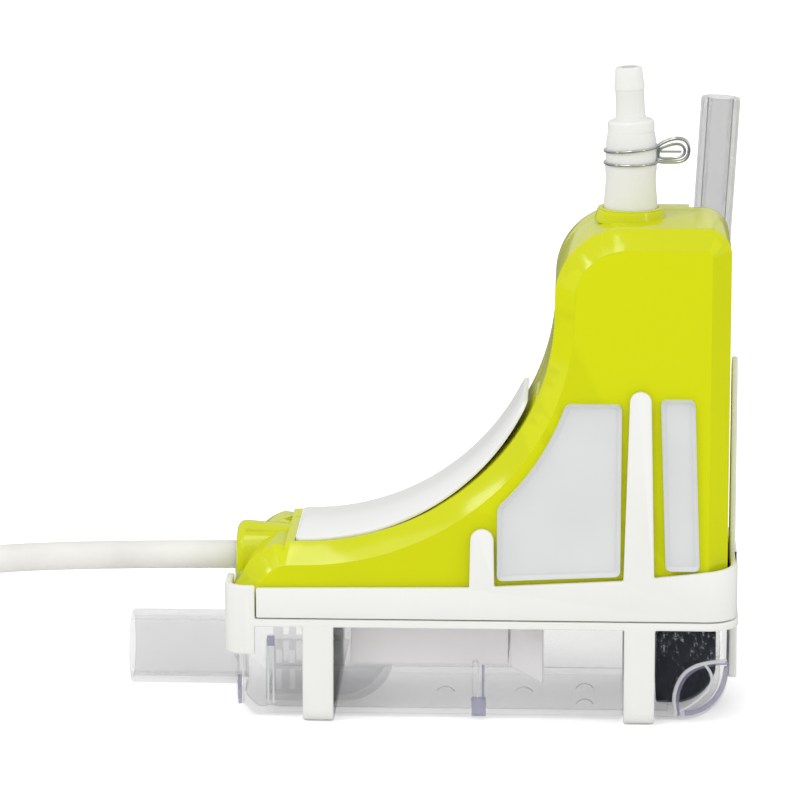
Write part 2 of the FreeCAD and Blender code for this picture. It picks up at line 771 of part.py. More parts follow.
def housing():
    """Lime housing: one bevelled form, hollowed, then parted into a near shell and a far cover."""
    form = bevelled_form("housing_form", "0", "HousingBottomZ", "HousingHalf", "EdgeBevel")
    boss = turned("cable_boss", [
        ("0", "0"), ("BossRadius - BossRound", "0"), ("BossRadius", "BossRound"),
        ("BossRadius", "BossLength"), ("0", "BossLength"),
    ], {1: ("BossRound", 1)})
    place(boss, "BossX", 0, "CableZ", (0, 1, 0), 90)
    collar = rod("outlet_collar", "z", ("OutletX", "0"), "CollarRadius", "HousingTopZ - HousingWall",
                 "CollarTopZ")
    outside = join("housing_outside", form, boss, collar)
    core = bevelled_form("housing_core", "HousingWall", "HousingBottomZ - HousingWall",
                         "HousingHalf - HousingWall", CORE_BEVEL)
    panel_corners, panel_arcs = panel_profile("PanelGap")
    seat_half = "(PanelHalf + PanelGap)"
    seat = slab("panel_seat", "side", panel_corners, f"-{seat_half}", seat_half, panel_arcs)
    gland_hole = rod("gland_hole", "x", ("0", "CableZ"), "GlandRadius", "BossX - BossRound",
                     "ToeX + BossLength")
    outlet_hole = rod("outlet_hole", "z", ("OutletX", "0"), "SleeveRadius + BaseGap",
                      "HousingTopZ - 2 * HousingWall", "CollarTopZ + HousingWall")
    hollow = cut("housing_hollow", outside, core, seat, gland_hole, outlet_hole)

    reach = ("ToeX - BossLength", "HeelX + BossLength")
    height = ("HousingBottomZ - BossLength", "CollarTopZ + BossLength")
    near_side = block("near_side", reach, ("-2 * HousingHalf", "PartingY - PartingGap / 2"), height)
    far_side = block("far_side", reach, ("PartingY + PartingGap / 2", "2 * HousingHalf"), height)
    near_pegs, far_pegs, pilots, passes = [], [], [], []
    inner_face = "HousingHalf - HousingWall / 2"
    for number, (x, z) in enumerate(COVER_SCREWS, 1):
        near_pegs.append(rod(f"near_peg_{number}", "y", (x, z), "CoverBossRadius", f"-({inner_face})",
                             "PartingY - PartingGap / 2"))
        far_pegs.append(rod(f"far_peg_{number}", "y", (x, z), "CoverSeatRadius", "PartingY + PartingGap / 2",
                            inner_face))
        pilots.append(rod(f"pilot_{number}", "y", (x, z), "ScrewRadius",
                          "HousingHalf - CoverScrewLength - ScrewClearance", "PartingY"))
        passes.append(rod(f"pass_{number}", "y", (x, z), "ScrewRadius + ScrewClearance",
                          "PartingY - PartingGap", "2 * HousingHalf"))
        passes.append(rod(f"sink_{number}", "y", (x, z), "ScrewHeadRadius + ScrewClearance",
                          "HousingHalf - ScrewHeadHeight - ScrewClearance", "2 * HousingHalf"))
    for side, pegs, holes in ((-1, near_pegs, pilots), (1, far_pegs, passes)):
        for end, x in (("toe", "BaseScrewToeX"), ("waist", "BaseScrewHeelX")):
            name = f"{end}_{'near' if side < 0 else 'far'}"
            pegs.append(base_boss(name + "_boss", x, side))
            holes.append(rod(name + "_pilot", "z", (x, f"({side}) * BaseScrewY"), "ScrewRadius",
                             "HousingBottomZ", "HousingBottomZ + BaseScrewLength + ScrewClearance"))
    notch_walls = hose_notch("notch_walls", "NotchWall", "HousingTopZ")
    far_pegs.append(notch_walls)

    near_bosses = common("near_bosses", form, join("near_pegs", *near_pegs))
    near_whole = join("near_whole", common("near_half", hollow, near_side), near_bosses)
    node(cut("housing_shell", near_whole, *pilots))
    far_bosses = common("far_bosses", form, join("far_pegs", *far_pegs))
    far_whole = join("far_whole", common("far_half", hollow, far_side), far_bosses)
    notched = cut("far_notched", far_whole, hose_notch("notch", "0", "HousingTopZ + HousingWall"), *passes)
    stub = leaning_rod("breather_stub", "HoseBore - BaseGap / 2", "-NotchWall / 2", "StubLength")
    vent = leaning_rod("breather_vent", "HoseBore / 2", "-2 * NotchWall", "StubLength + NotchWall")
    node(cut("housing_cover", join("far_stubbed", notched, stub), vent))


def cover_screws():
    pattern = screw("cover_screw", "ScrewRadius", "ScrewHeadRadius", "ScrewHeadHeight", "CoverScrewLength")
    copies = [copy_at(pattern, f"cover_screw_{n}", x, "HousingHalf", z, (1, 0, 0), 90)
              for n, (x, z) in enumerate(COVER_SCREWS, 1)]
    return node(group("cover_screws", copies))


def base_screws():
    pattern = screw("base_screw", "ScrewRadius", "ScrewHeadRadius", "ScrewHeadHeight", "BaseScrewLength")
    spots = [(x, f"{side} * BaseScrewY") for x in ("BaseScrewToeX", "BaseScrewHeelX") for side in (-1, 1)]
    copies = [copy_at(pattern, f"base_screw_{n}", x, y, "HousingBottomZ")
              for n, (x, y) in enumerate(spots, 1)]
    return node(group("base_screws", copies))


def labels():
    """Two blank labels on the near side, the larger one following the slope."""
    face, skin = "-HousingHalf", "-(HousingHalf + LabelThick)"
    rating = [("RatingToeX", "RatingLowZ"), ("RatingHeelX", "RatingLowZ"), ("RatingHeelX", "RatingTopZ"),
              ("RatingTopToeX", "RatingTopZ"), ("RatingToeX", "RatingSideZ")]
    node(slab("rating_label", "side", rating, skin, face, {3: ("RatingArc", -1)}))
    serial = [("SerialToeX", "SerialLowZ"), ("SerialToeX + SerialWidth", "SerialLowZ"),
              ("SerialToeX + SerialWidth - SerialLean", "SerialTopZ"),
              ("SerialToeX - SerialLean", "SerialTopZ")]
    node(slab("serial_label", "side", serial, skin, face))


# Pump base

def housing_base():
    """White base: plate, raised deck over the float, well for the sensors and suction foot."""
    toe, heel = "(ToeX + HousingWall + BaseGap)", "(HeelX - HousingWall - BaseGap)"
    half = "(HousingHalf - HousingWall - BaseGap)"
    clip = f"({CORE_BEVEL} + BaseGap)"
    plan = [
        (f"{toe} + {clip}", f"-{half}"), (f"{heel} - {clip}", f"-{half}"), (heel, f"-{half} + {clip}"),
        (heel, f"{half} - {clip}"), (f"{heel} - {clip}", half), (f"{toe} + {clip}", half),
        (toe, f"{half} - {clip}"), (toe, f"-{half} + {clip}"),
    ]
    plate = slab("base_plate", "top", plan, "HousingBottomZ", BASE_TOP)
    deck_heel = f"({heel} - BaseGap)"
    deck = block("deck", ("DeckX", deck_heel), ("-DeckHalf", "DeckHalf"), ("HousingBottomZ", "DeckTopZ"))
    well = block("well", ("WellToeX", "WellHeelX"), ("-WellHalf", "WellHalf"), ("WellBottomZ", BASE_TOP))
    foot = slab("suction_foot", "side", [
        ("FootX", "FootBottomZ + FootRise"), ("FootX + FootWidth", "FootBottomZ"),
        ("FootX + FootWidth", BASE_TOP), ("FootX", BASE_TOP),
    ], "FootY - FootWidth / 2", "FootY + FootWidth / 2")
    foot_x = "(FootX + FootWidth / 2)"
    spigot = rod("suction_spigot", "z", (foot_x, "FootY"), "SpigotRadius", "HousingBottomZ",
                 f"{BASE_TOP} + SpigotHeight")
    ribs = [block(f"board_rib_{n}", (x, f"{x} + BoardRibWidth"), ("-WellHalf", "WellHalf"),
                  ("HousingBottomZ", "BoardZ"))
            for n, x in enumerate(("BoardToeX", "(WellHeelX - WellWall)"), 1)]
    solid = join("base_solid", plate, deck, well, foot, spigot, *ribs)

    under = block("deck_hollow", ("DeckX + DeckWall", f"{deck_heel} - DeckWall"),
                  ("-(DeckHalf - DeckWall)", "DeckHalf - DeckWall"), ("FlangeLowZ", "DeckTopZ - DeckWall"))
    inside = block("well_hollow", ("WellToeX + WellWall", "WellHeelX - WellWall"),
                   ("-(WellHalf - WellWall)", "WellHalf - WellWall"), ("WellBottomZ + WellWall", "DeckTopZ"))
    bore = rod("suction_bore", "z", (foot_x, "FootY"), "SpigotBore", "TankBottomZ", "DeckTopZ + SpigotHeight")
    holes = []
    for end, x in (("toe", "BaseScrewToeX"), ("waist", "BaseScrewHeelX")):
        for side in (-1, 1):
            y = f"({side}) * BaseScrewY"
            name = f"base_{end}_{'near' if side < 0 else 'far'}"
            holes.append(rod(name, "z", (x, y), "ScrewRadius + ScrewClearance", "FlangeLowZ", "DeckTopZ"))
            holes.append(rod(name + "_sink", "z", (x, y), "ScrewHeadRadius + ScrewClearance", "FlangeLowZ",
                             "HousingBottomZ + ScrewHeadHeight"))
    return node(cut("pump_base", solid, under, inside, bore, *holes))


# Outlet and breather

def outlet():
    """Rubber sleeve, barbed connector that leans in it, and the double wire spring clip."""
    sleeve = turned("outlet_sleeve", [
        ("SleeveBore", "SleeveBottomZ"), ("SleeveTail", "SleeveBottomZ"),
        ("SleeveTail", "HousingTopZ - 2 * HousingWall"), ("SleeveRadius", "HousingTopZ - HousingWall"),
        ("SleeveRadius", "CollarTopZ + SleeveStep"), ("SleeveNeck + SleeveFlare", "ClipLowZ - SleeveTaper"),
        ("SleeveNeck", "ClipLowZ"), ("SleeveNeck", "SleeveTopZ - SleeveLipHeight"),
        ("SleeveNeck - SleeveLip", "SleeveTopZ"), ("SleeveBore", "SleeveTopZ"),
    ])
    place(sleeve, "OutletX")
    node(sleeve)

    top = "(ConnectorTopZ - SleeveTopZ)"
    plug = "(SleeveBore - ConnectorFit)"
    seat = "ConnectorSeat"
    rim = "(ConnectorSeat + ConnectorRim)"
    cone = f"({rim} + ConnectorCone)"
    barb = f"({top} - ConnectorBarbLength)"
    connector = turned("outlet_connector", [
        ("ConnectorBore", "-ConnectorPlug"), (plug, "-ConnectorPlug"), (plug, seat),
        ("ConnectorFlange - ConnectorRound", seat), ("ConnectorFlange", f"{seat} + ConnectorRound"),
        ("ConnectorFlange", rim), ("ConnectorFlange - ConnectorCone", cone), ("ConnectorStem", cone),
        ("ConnectorStem", f"{barb} - ConnectorRound"), ("ConnectorBarb", barb),
        ("ConnectorBarb", f"{barb} + ConnectorLand"), ("ConnectorTip", top), ("ConnectorBore", top),
    ])
    place(connector, "OutletX", 0, "SleeveTopZ", (0, 1, 0), "-ConnectorLean")
    node(connector)

    ring_radius = "(SleeveNeck + ClipGap + ClipWire)"
    pieces = []
    for name, z in (("clip_low", "ClipLowZ"), ("clip_high", "ClipHighZ")):
        ring = doc.addObject("Part::Torus", name)
        bind(ring, "Radius1", ring_radius)
        bind(ring, "Radius2", "ClipWire")
        pieces.append(place(ring, "OutletX", 0, z))
    side_x = f"(OutletX + {ring_radius})"
    pieces.append(rod("clip_link", "z", (side_x, "0"), "ClipWire", "ClipLowZ", "ClipHighZ"))
    ear = doc.addObject("Part::Torus", "clip_ear")
    bind(ear, "Radius1", "ClipEarRadius")
    bind(ear, "Radius2", "ClipWire")
    pieces.append(place(ear, f"{side_x} + ClipEarRadius + ClipWire / 2", 0,
                        "(ClipLowZ + ClipHighZ) / 2 + ClipEarRise", (1, 0, 0), 90))
    node(join("hose_clip", *pieces))


def breather_hose():
    hose = turned("breather_hose", [
        ("HoseBore", "0"), ("HoseRadius", "0"), ("HoseRadius", "HoseLength"), ("HoseBore", "HoseLength"),
    ])
    foot = "NotchZ + HoseRadius * sin(HoseLean) + BaseGap / 2"
    place(hose, "HoseX + BaseGap * sin(HoseLean)", "HoseY", foot, (0, 1, 0), "HoseLean")
    return node(hose)


# Wall bracket

def finger(name, x, width, top, tip, low):
    """Upright finger on the label side with a half round top."""
    middle = f"({x} + {width} / 2)"
    corners = [
        (x, low), (f"{x} + {width}", low), (f"{middle} + {tip}", f"{top} - {tip}"), (middle, top),
        (f"{middle} - {tip}", f"{top} - {tip}"),
    ]
    return slab(name, "side", corners, "-BandHalf", "-(BandHalf - BandWall)", {2: (tip, 1), 3: (tip, 1)})


def wall_bracket():
    """Band round the housing's foot, two fingers on the label side, one at the heel, and a wall plate."""
    half, inner = "BandHalf", "(BandHalf - BandWall)"
    bend = "(BandHeelX - BandCorner)"
    plan = [
        ("BandToeX", f"-{half}"), (bend, f"-{half}"), ("BandHeelX", f"-{half} + BandCorner"),
        ("BandHeelX", f"{half} - BandCorner"), (bend, half), ("BandToeX", half), ("BandToeX", inner),
        (bend, inner), ("BandHeelX - BandWall", f"{half} - BandCorner"),
        ("BandHeelX - BandWall", f"-{half} + BandCorner"), (bend, f"-{inner}"), ("BandToeX", f"-{inner}"),
    ]
    bends = {1: ("BandCorner", 1), 3: ("BandCorner", 1), 7: ("BandCorner - BandWall", -1),
             9: ("BandCorner - BandWall", -1)}
    ring = slab("band_ring", "top", plan, "HousingBottomZ", "BandHeelZ", bends)
    side = slab("band_side", "side", [
        ("BandToeX", "HousingBottomZ"), ("BandHeelX", "HousingBottomZ"), ("BandHeelX", "BandHeelZ"),
        ("TallFingerX", "BandMidZ"), ("ShortFingerX", "BandToeZ + BandStep"), ("BandToeX", "BandToeZ"),
    ], f"-{half}", half)
    band = common("band", ring, side)
    foot = "(BandToeZ - FingerRoot)"
    tall, short = [finger(f"{name.lower()}_finger", f"{name}FingerX", f"{name}FingerWidth",
                          f"{name}FingerTopZ", f"{name}FingerTip", foot) for name in ("Tall", "Short")]
    tip = "HeelFingerTip"
    root = "BandHeelZ - 2 * FingerRoot"
    heel = slab("heel_finger", "end", [
        ("-HeelFingerHalf", root), ("HeelFingerHalf", root), (tip, f"HeelFingerTopZ - {tip}"),
        ("0", "HeelFingerTopZ"), (f"-{tip}", f"HeelFingerTopZ - {tip}"),
    ], "BandHeelX - BandWall", "BandHeelX - BandWall + HeelFingerThick", {2: (tip, 1), 3: (tip, 1)})
    plate = slab("wall_plate", "side", [
        ("PlateToeX", foot), ("PlateHeelX", foot), ("PlateHeelX", "PlateTopZ - PlateCorner"),
        ("PlateHeelX - PlateCorner", "PlateTopZ"), ("PlateToeX + PlateCorner", "PlateTopZ"),
        ("PlateToeX", "PlateTopZ - PlateCorner"),
    ], inner, half, {2: ("PlateCorner", 1), 4: ("PlateCorner", 1)})
    holes = [rod(f"wall_hole_{n}", "y", (f"WallHoleX + ({step}) * WallHoleSpacing", "WallHoleZ"),
                 "WallHoleRadius", "HousingHalf", "BandHalf + BandWall")
             for n, step in enumerate((-0.5, 0.5), 1)]
    return node(cut("wall_bracket", join("bracket_solid", band, tall, short, heel, plate), *holes))


# Cradle

def toe_hook(name, side):
    """Hook round one toe corner, which leaves room for the inlet tube between the pair."""
    outer = [("HookHeelX", "BandHalf"), ("FlangeToeX + HookCorner", "BandHalf"),
             ("FlangeToeX", "BandHalf - HookCorner"), ("FlangeToeX", "HookLegY")]
    inner = [("FlangeToeX + HookWall", "HookLegY"), ("FlangeToeX + HookWall", "BandHalf - HookCorner"),
             ("FlangeToeX + HookCorner", "BandHalf - HookWall"), ("HookHeelX", "BandHalf - HookWall")]
    plan = [(x, f"({side}) * ({y})") for x, y in outer + inner]
    return slab(name, "top", plan, "HookLowZ", "HookTopZ",
                {1: ("HookCorner", side), 5: ("HookCorner - HookWall", -side)})


def strap(name, x):
    """U strap under the reservoir, with rounded lower corners."""
    half, level = "BandHalf", "(FlangeLowZ + FlangeThick)"
    outer_bend, inner_bend = "StrapCorner", "StrapInnerCorner"
    inner = "(BandHalf - StrapWall)"
    bend = f"({inner_bend} + StrapFloor)"
    corners = [
        (f"-{half}", level), (f"-{half}", outer_bend), (f"-{half} + {outer_bend}", "0"),
        (f"{half} - {outer_bend}", "0"), (half, outer_bend), (half, level), (inner, level),
        (inner, bend), (f"{inner} - {inner_bend}", "StrapFloor"),
        (f"-{inner} + {inner_bend}", "StrapFloor"), (f"-{inner}", bend), (f"-{inner}", level),
    ]
    arcs = {1: (outer_bend, 1), 3: (outer_bend, 1), 7: (inner_bend, -1), 9: (inner_bend, -1)}
    return slab(name, "end", corners, x, f"{x} + StrapWidth", arcs)


def cradle():
    """White cradle: flange round the reservoir's rim, two U straps, toe hooks and heel tab."""
    top = "(FlangeLowZ + FlangeThick)"
    bend_x = "(FlangeHeelX - BandCorner)"
    toe_x = "(FlangeToeX + HookCorner)"
    plan = [
        (toe_x, "-BandHalf"), (bend_x, "-BandHalf"), ("FlangeHeelX", "-BandHalf + BandCorner"),
        ("FlangeHeelX", "BandHalf - BandCorner"), (bend_x, "BandHalf"), (toe_x, "BandHalf"),
        ("FlangeToeX", "BandHalf - HookCorner"), ("FlangeToeX", "-BandHalf + HookCorner"),
    ]
    arcs = {1: ("BandCorner", 1), 3: ("BandCorner", 1), 5: ("HookCorner", 1), 7: ("HookCorner", 1)}
    flange = slab("flange", "top", plan, "FlangeLowZ", top, arcs)
    opening = block("flange_opening", ("FlangeOpenToeX", "FlangeOpenHeelX"),
                    ("-FlangeOpenHalf", "FlangeOpenHalf"),
                    ("FlangeLowZ - FlangeThick", f"{top} + FlangeThick"))
    ring = cut("flange_ring", flange, opening)
    straps = [strap("toe_strap", "ToeStrapX"), strap("heel_strap", "HeelStrapX")]
    hooks = [toe_hook("far_hook", 1), toe_hook("near_hook", -1)]
    tab = block("heel_tab", ("FlangeHeelX - StrapWall", "FlangeHeelX"), ("-TabHalf", "TabHalf"),
                ("TabLowZ", "FlangeLowZ + FlangeThick"))
    return node(join("cradle", ring, *straps, *hooks, tab))


# Reservoir

def tank_form(name, inset, top, half, radius):
    """Reservoir outline with a cut toe corner and a round heel corner, moved inwards by inset."""
    slant = f"({inset} * (sqrt(2) - 1))"
    corners = [
        (f"TankToeX + {inset}", top),
        (f"TankToeX + {inset}", f"TankBottomZ + TankToeCut + {slant}"),
        (f"TankToeX + TankToeCut + {slant}", f"TankBottomZ + {inset}"),
        ("TankHeelX - TankHeelRadius", f"TankBottomZ + {inset}"),
        (f"TankHeelX - {inset}", "TankBottomZ + TankHeelRadius"),
        (f"TankHeelX - {inset}", top),
    ]
    body = slab(name, "side", corners, f"-({half})", half, {3: (f"TankHeelRadius - {inset}", 1)})
    side, rim = value(half), value(top)

    def on_rim(edge):
        return (at_level(edge, "Y", side) or at_level(edge, "Y", -side)) and not at_level(edge, "Z", rim)

    soften(body, "Fillet", radius, on_rim)
    return body


def reservoir():
    """Clear tank with the inlet tube, strap grooves, and the ribs on its near wall."""
    outside = tank_form("tank_outside", "0", "TankTopZ", "TankHalf", "TankEdgeRadius")
    tube = rod("inlet_tube", "x", ("0", "InletZ"), "InletRadius", "InletEndX", "TankToeX + TankWall / 2")
    collar = rod("inlet_collar", "x", ("0", "InletZ"), "InletCollarRadius", "TankToeX - InletCollarReach",
                 "TankToeX + TankWall / 2")
    lugs = [block(f"tank_lug_{n}", ("TankToeX - LugReach", "TankToeX + TankWall / 2"),
                  (f"({y}) - LugWidth / 2", f"({y}) + LugWidth / 2"),
                  ("InletZ + LugRise", "InletZ + LugRise + LugHeight"))
            for n, y in enumerate(("-LugY", "LugY"), 1)]
    core = tank_form("tank_core", "TankWall", "TankTopZ + TankWall", "TankHalf - TankWall",
                     "TankEdgeRadius - TankWall / 2")
    bore = rod("inlet_bore", "x", ("0", "InletZ"), "InletBore", "InletEndX - TankWall",
               "TankToeX + 2 * TankWall")
    grooves = [block(f"strap_groove_{n}", (f"{x} - GrooveGap", f"{x} + StrapWidth + GrooveGap"),
                     ("-BandHalf", "BandHalf"), ("-StrapFloor", "StrapFloor + GrooveGap"))
               for n, x in enumerate(("ToeStrapX", "HeelStrapX"), 1)]
    shell = cut("tank_shell", join("tank_solid", outside, tube, collar, *lugs), core, bore, *grooves)

    wall = "-(TankHalf - TankWall / 2)"
    floor = "TankBottomZ + TankWall / 2"
    column = block("near_column", ("ColumnToeX", "ColumnToeX + ColumnWidth"), (wall, "-ColumnReachY"),
                   (floor, "ColumnTopZ"))
    baffle = block("baffle", ("BaffleToeX", "BaffleToeX + RibThick"), (wall, "-PostReachY"),
                   (floor, "BaffleTopZ"))
    post = block("baffle_post", ("PostToeX", "PostToeX + PostWidth"), (wall, "-PostReachY"),
                 (floor, "PostTopZ"))
    bend_x, bend_z = "(SwanToeX + RibRadius)", "SwanBendZ"
    inner = "(RibRadius - RibThick)"
    swan = slab("swan_rib", "side", [
        ("TankHeelX - TankWall / 2", f"{bend_z} + {inner}"),
        ("TankHeelX - TankWall / 2", f"{bend_z} + RibRadius"),
        (bend_x, f"{bend_z} + RibRadius"), (f"{bend_x} - RibRadius", bend_z),
        (f"{bend_x} - RibRadius", floor), (f"{bend_x} - {inner}", floor),
        (f"{bend_x} - {inner}", bend_z), (bend_x, f"{bend_z} + {inner}"),
    ], wall, "-(FloatHalf + SwanGap)", {2: ("RibRadius", 1), 6: (inner, -1)})
    return node(join("reservoir", shell, column, baffle, post, swan))


def filter_basket():
    """Slotted basket behind the inlet, open to the tube and upwards, with a round scoop at its heel."""
    floor = "(TankBottomZ + TankWall + GrooveGap)"
    lining = f"({floor} + BasketWall)"
    scoop_x, heel = "BasketStepX", "(BasketStepX + ScoopLength)"
    inside = f"({heel} - 1.5 * BasketWall)"
    toe_open, inner_half = "(BasketToeX - BasketWall)", "(BasketHalf - BasketWall)"
    outer = slab("basket_outer", "side", [
        ("BasketToeX", floor), (scoop_x, floor), (heel, "ScoopTopZ"), (scoop_x, "ScoopTopZ"),
        (scoop_x, "BasketTopZ"), ("BasketToeX", "BasketTopZ"),
    ], "-BasketHalf", "BasketHalf", {1: ("ScoopRadius", 1)})
    inner = slab("basket_inner", "side", [
        (toe_open, lining), (scoop_x, lining), (inside, "ScoopTopZ"), (toe_open, "ScoopTopZ"),
    ], f"-{inner_half}", inner_half, {1: ("ScoopRadius", 1)})
    well = block("basket_well", (toe_open, f"{scoop_x} - BasketWall"), (f"-{inner_half}", inner_half),
                 (lining, "BasketTopZ + BasketWall"))
    pitch = f"(({scoop_x} - BasketToeX) / (BasketSlots + 1))"
    low, middle, high = f"({lining} + BasketWall)", "ScoopTopZ", "(BasketTopZ - 2 * BasketWall)"
    rows = [(low, f"{middle} - BasketBar / 2"), (f"{middle} + BasketBar / 2", high)]
    slots = []
    for number in range(1, int(SIZES["BasketSlots"]) + 1):
        slot_x = f"(BasketToeX + {number} * {pitch})"
        for row, heights in enumerate(rows, 1):
            slots.append(block(f"basket_slot_{number}_{row}",
                               (f"{slot_x} - BasketSlotWidth / 2", f"{slot_x} + BasketSlotWidth / 2"),
                               ("-(BasketHalf + BasketWall)", "BasketHalf + BasketWall"), heights))
    return node(cut("filter_basket", outer, inner, well, *slots))


def level_float():
    """Foam float with a round heel and the magnet let into its top."""
    outline = [
        ("FloatToeX", "FloatBottomZ"), ("FloatHeelX - FloatHeelCut", "FloatBottomZ"),
        ("FloatHeelX", "FloatBottomZ + FloatHeelCut"), ("FloatHeelX", "FloatTopZ"),
        ("FloatToeX", "FloatTopZ"),
    ]
    foam = slab("float_foam", "side", outline, "-FloatHalf", "FloatHalf", {1: ("FloatHeelRadius", 1)})
    centre = ("(FloatToeX + FloatHeelX) / 2", "0")
    seat = "FloatTopZ - MagnetHeight"
    pocket = rod("magnet_pocket", "z", centre, "MagnetRadius", seat, "FloatTopZ + MagnetHeight")
    node(cut("level_float", foam, pocket))
    node(rod("float_magnet", "z", centre, "MagnetRadius - MagnetGap", seat, "FloatTopZ"))


# Motor

MOTOR_TOP = "(MotorBottomZ + MotorLength)"
CAGE_TOP = f"({MOTOR_TOP} + CageHeight)"
CHAMBER_Z = f"({CAGE_TOP} + DiaphragmThick)"
VALVE_Z = f"({CHAMBER_Z} + ChamberHeight)"
COVER_Z = f"({VALVE_Z} + ValveThick)"
HEAD_TOP = f"({COVER_Z} + CoverHeight)"
CRANK_Z = f"({MOTOR_TOP} + CageFloor + CrankGap)"
PLATE_TOP = f"({CAGE_TOP} - BallRadius - BallNeck - BallGap)"


def on_pump_axis(body):
    return place(body, "OutletX")


def motor():
    """Motor: rubber cup, can, end cap, magnets, and the shaft with its rotor core."""
    cap_top = "(MotorBottomZ + CapThick)"
    cup = turned("motor_mount", [
        ("0", "DeckTopZ"), ("MountRadius", "DeckTopZ"), ("MountRadius", "MotorBottomZ + MountDepth"),
        ("MotorRadius + MountGap", "MotorBottomZ + MountDepth"),
        ("MotorRadius + MountGap", "MotorBottomZ"), ("0", "MotorBottomZ"),
    ])
    node(on_pump_axis(cup))
    hole, lid = "(ShaftRadius + ShaftClearance)", f"({MOTOR_TOP} - CanLid)"
    can = turned("motor_can", [
        ("MotorRadius - MotorWall", cap_top), ("MotorRadius", cap_top), ("MotorRadius", MOTOR_TOP),
        (hole, MOTOR_TOP), (hole, lid), ("MotorRadius - MotorWall", lid),
    ])
    node(on_pump_axis(can))
    shaft_foot = "(MotorBottomZ + ShaftFoot)"
    bearing_top, seat = f"{cap_top} + BearingHeight", f"{shaft_foot} - ShaftEndPlay"
    end_cap = turned("motor_end_cap", [
        ("0", "MotorBottomZ"), ("MotorRadius", "MotorBottomZ"), ("MotorRadius", cap_top),
        ("BearingRadius", cap_top), ("BearingRadius", bearing_top), (hole, bearing_top), (hole, seat),
        ("0", seat),
    ])
    node(on_pump_axis(end_cap))
    ring_top = "(MagnetRingLowZ + MagnetRingLength)"
    magnets = turned("motor_magnets", [
        ("MagnetRingBore", "MagnetRingLowZ"), ("MotorRadius - MotorWall", "MagnetRingLowZ"),
        ("MotorRadius - MotorWall", ring_top), ("MagnetRingBore", ring_top),
    ])
    node(on_pump_axis(magnets))
    node(rod("motor_shaft", "z", ("OutletX", "0"), "ShaftRadius", shaft_foot,
             f"{CRANK_Z} + CrankHeight - CrankCap"))
    core_low = "(MagnetRingLowZ + (MagnetRingLength - RotorLength) / 2)"
    brushes, core_top = f"{core_low} - CommutatorLength", f"{core_low} + RotorLength"
    rotor = turned("rotor_core", [
        ("ShaftRadius", brushes), ("CommutatorRadius", brushes), ("CommutatorRadius", core_low),
        ("RotorRadius", core_low), ("RotorRadius", core_top), ("ShaftRadius", core_top),
    ])
    node(on_pump_axis(rotor))


def crank():
    """Hub on the shaft with an off-centre pin that drives the wobble plate."""
    hub = rod("crank_hub", "z", ("OutletX", "0"), "CrankRadius", CRANK_Z, f"{CRANK_Z} + CrankHeight")
    pin = rod("crank_pin", "z", ("OutletX + CrankOffset", "0"), "CrankPinRadius", CRANK_Z,
              f"{CRANK_Z} + CrankHeight + CrankPinLength")
    bore = rod("crank_bore", "z", ("OutletX", "0"), "ShaftRadius", f"{CRANK_Z} - CrankHeight",
               f"{CRANK_Z} + CrankHeight - CrankCap")
    return node(cut("crank", join("crank_solid", hub, pin), bore))


def wobble_plate():
    """Rocking plate: a socket below for the crank pin and a ball post above."""
    low = f"({PLATE_TOP} - PlateThick)"
    skirt, rim = f"({low} - SocketSkirt)", "(SocketRadius + SocketWall)"
    roof = f"({CRANK_Z} + CrankHeight + CrankPinLength + CrankGap)"
    plate = turned("wobble_body", [
        ("SocketRadius", skirt), (rim, skirt), (rim, low), ("PlateRadius", low), ("PlateRadius", PLATE_TOP),
        ("0", PLATE_TOP), ("0", roof), ("SocketRadius", roof),
    ])
    on_pump_axis(plate)
    neck = f"{PLATE_TOP} + BallNeck"
    stem = rod("wobble_stem", "z", ("OutletX", "0"), "0.8 * BallRadius", f"{PLATE_TOP} - BallNeck", neck)
    ball = doc.addObject("Part::Sphere", "wobble_ball")
    bind(ball, "Radius", "BallRadius")
    place(ball, "OutletX", 0, neck)
    return node(join("wobble_plate", plate, stem, ball))


# Pump head

def cups(name, radius, low, high):
    """Three round forms spaced round the pump axis at the diaphragm's cups."""
    return [rod(f"{name}_{n}", "z", (f"OutletX + CupPitch * cos({n} * 120)", f"CupPitch * sin({n} * 120)"),
                radius, low, high) for n in range(3)]


def screw_holes(name, radius, low, high):
    """Three holes round the pump axis for the head screws."""
    return [rod(f"{name}_{n}", "z",
                (f"OutletX + HeadScrewPitch * cos({n} * 120 + 60)", f"HeadScrewPitch * sin({n} * 120 + 60)"),
                radius, low, high) for n in range(3)]


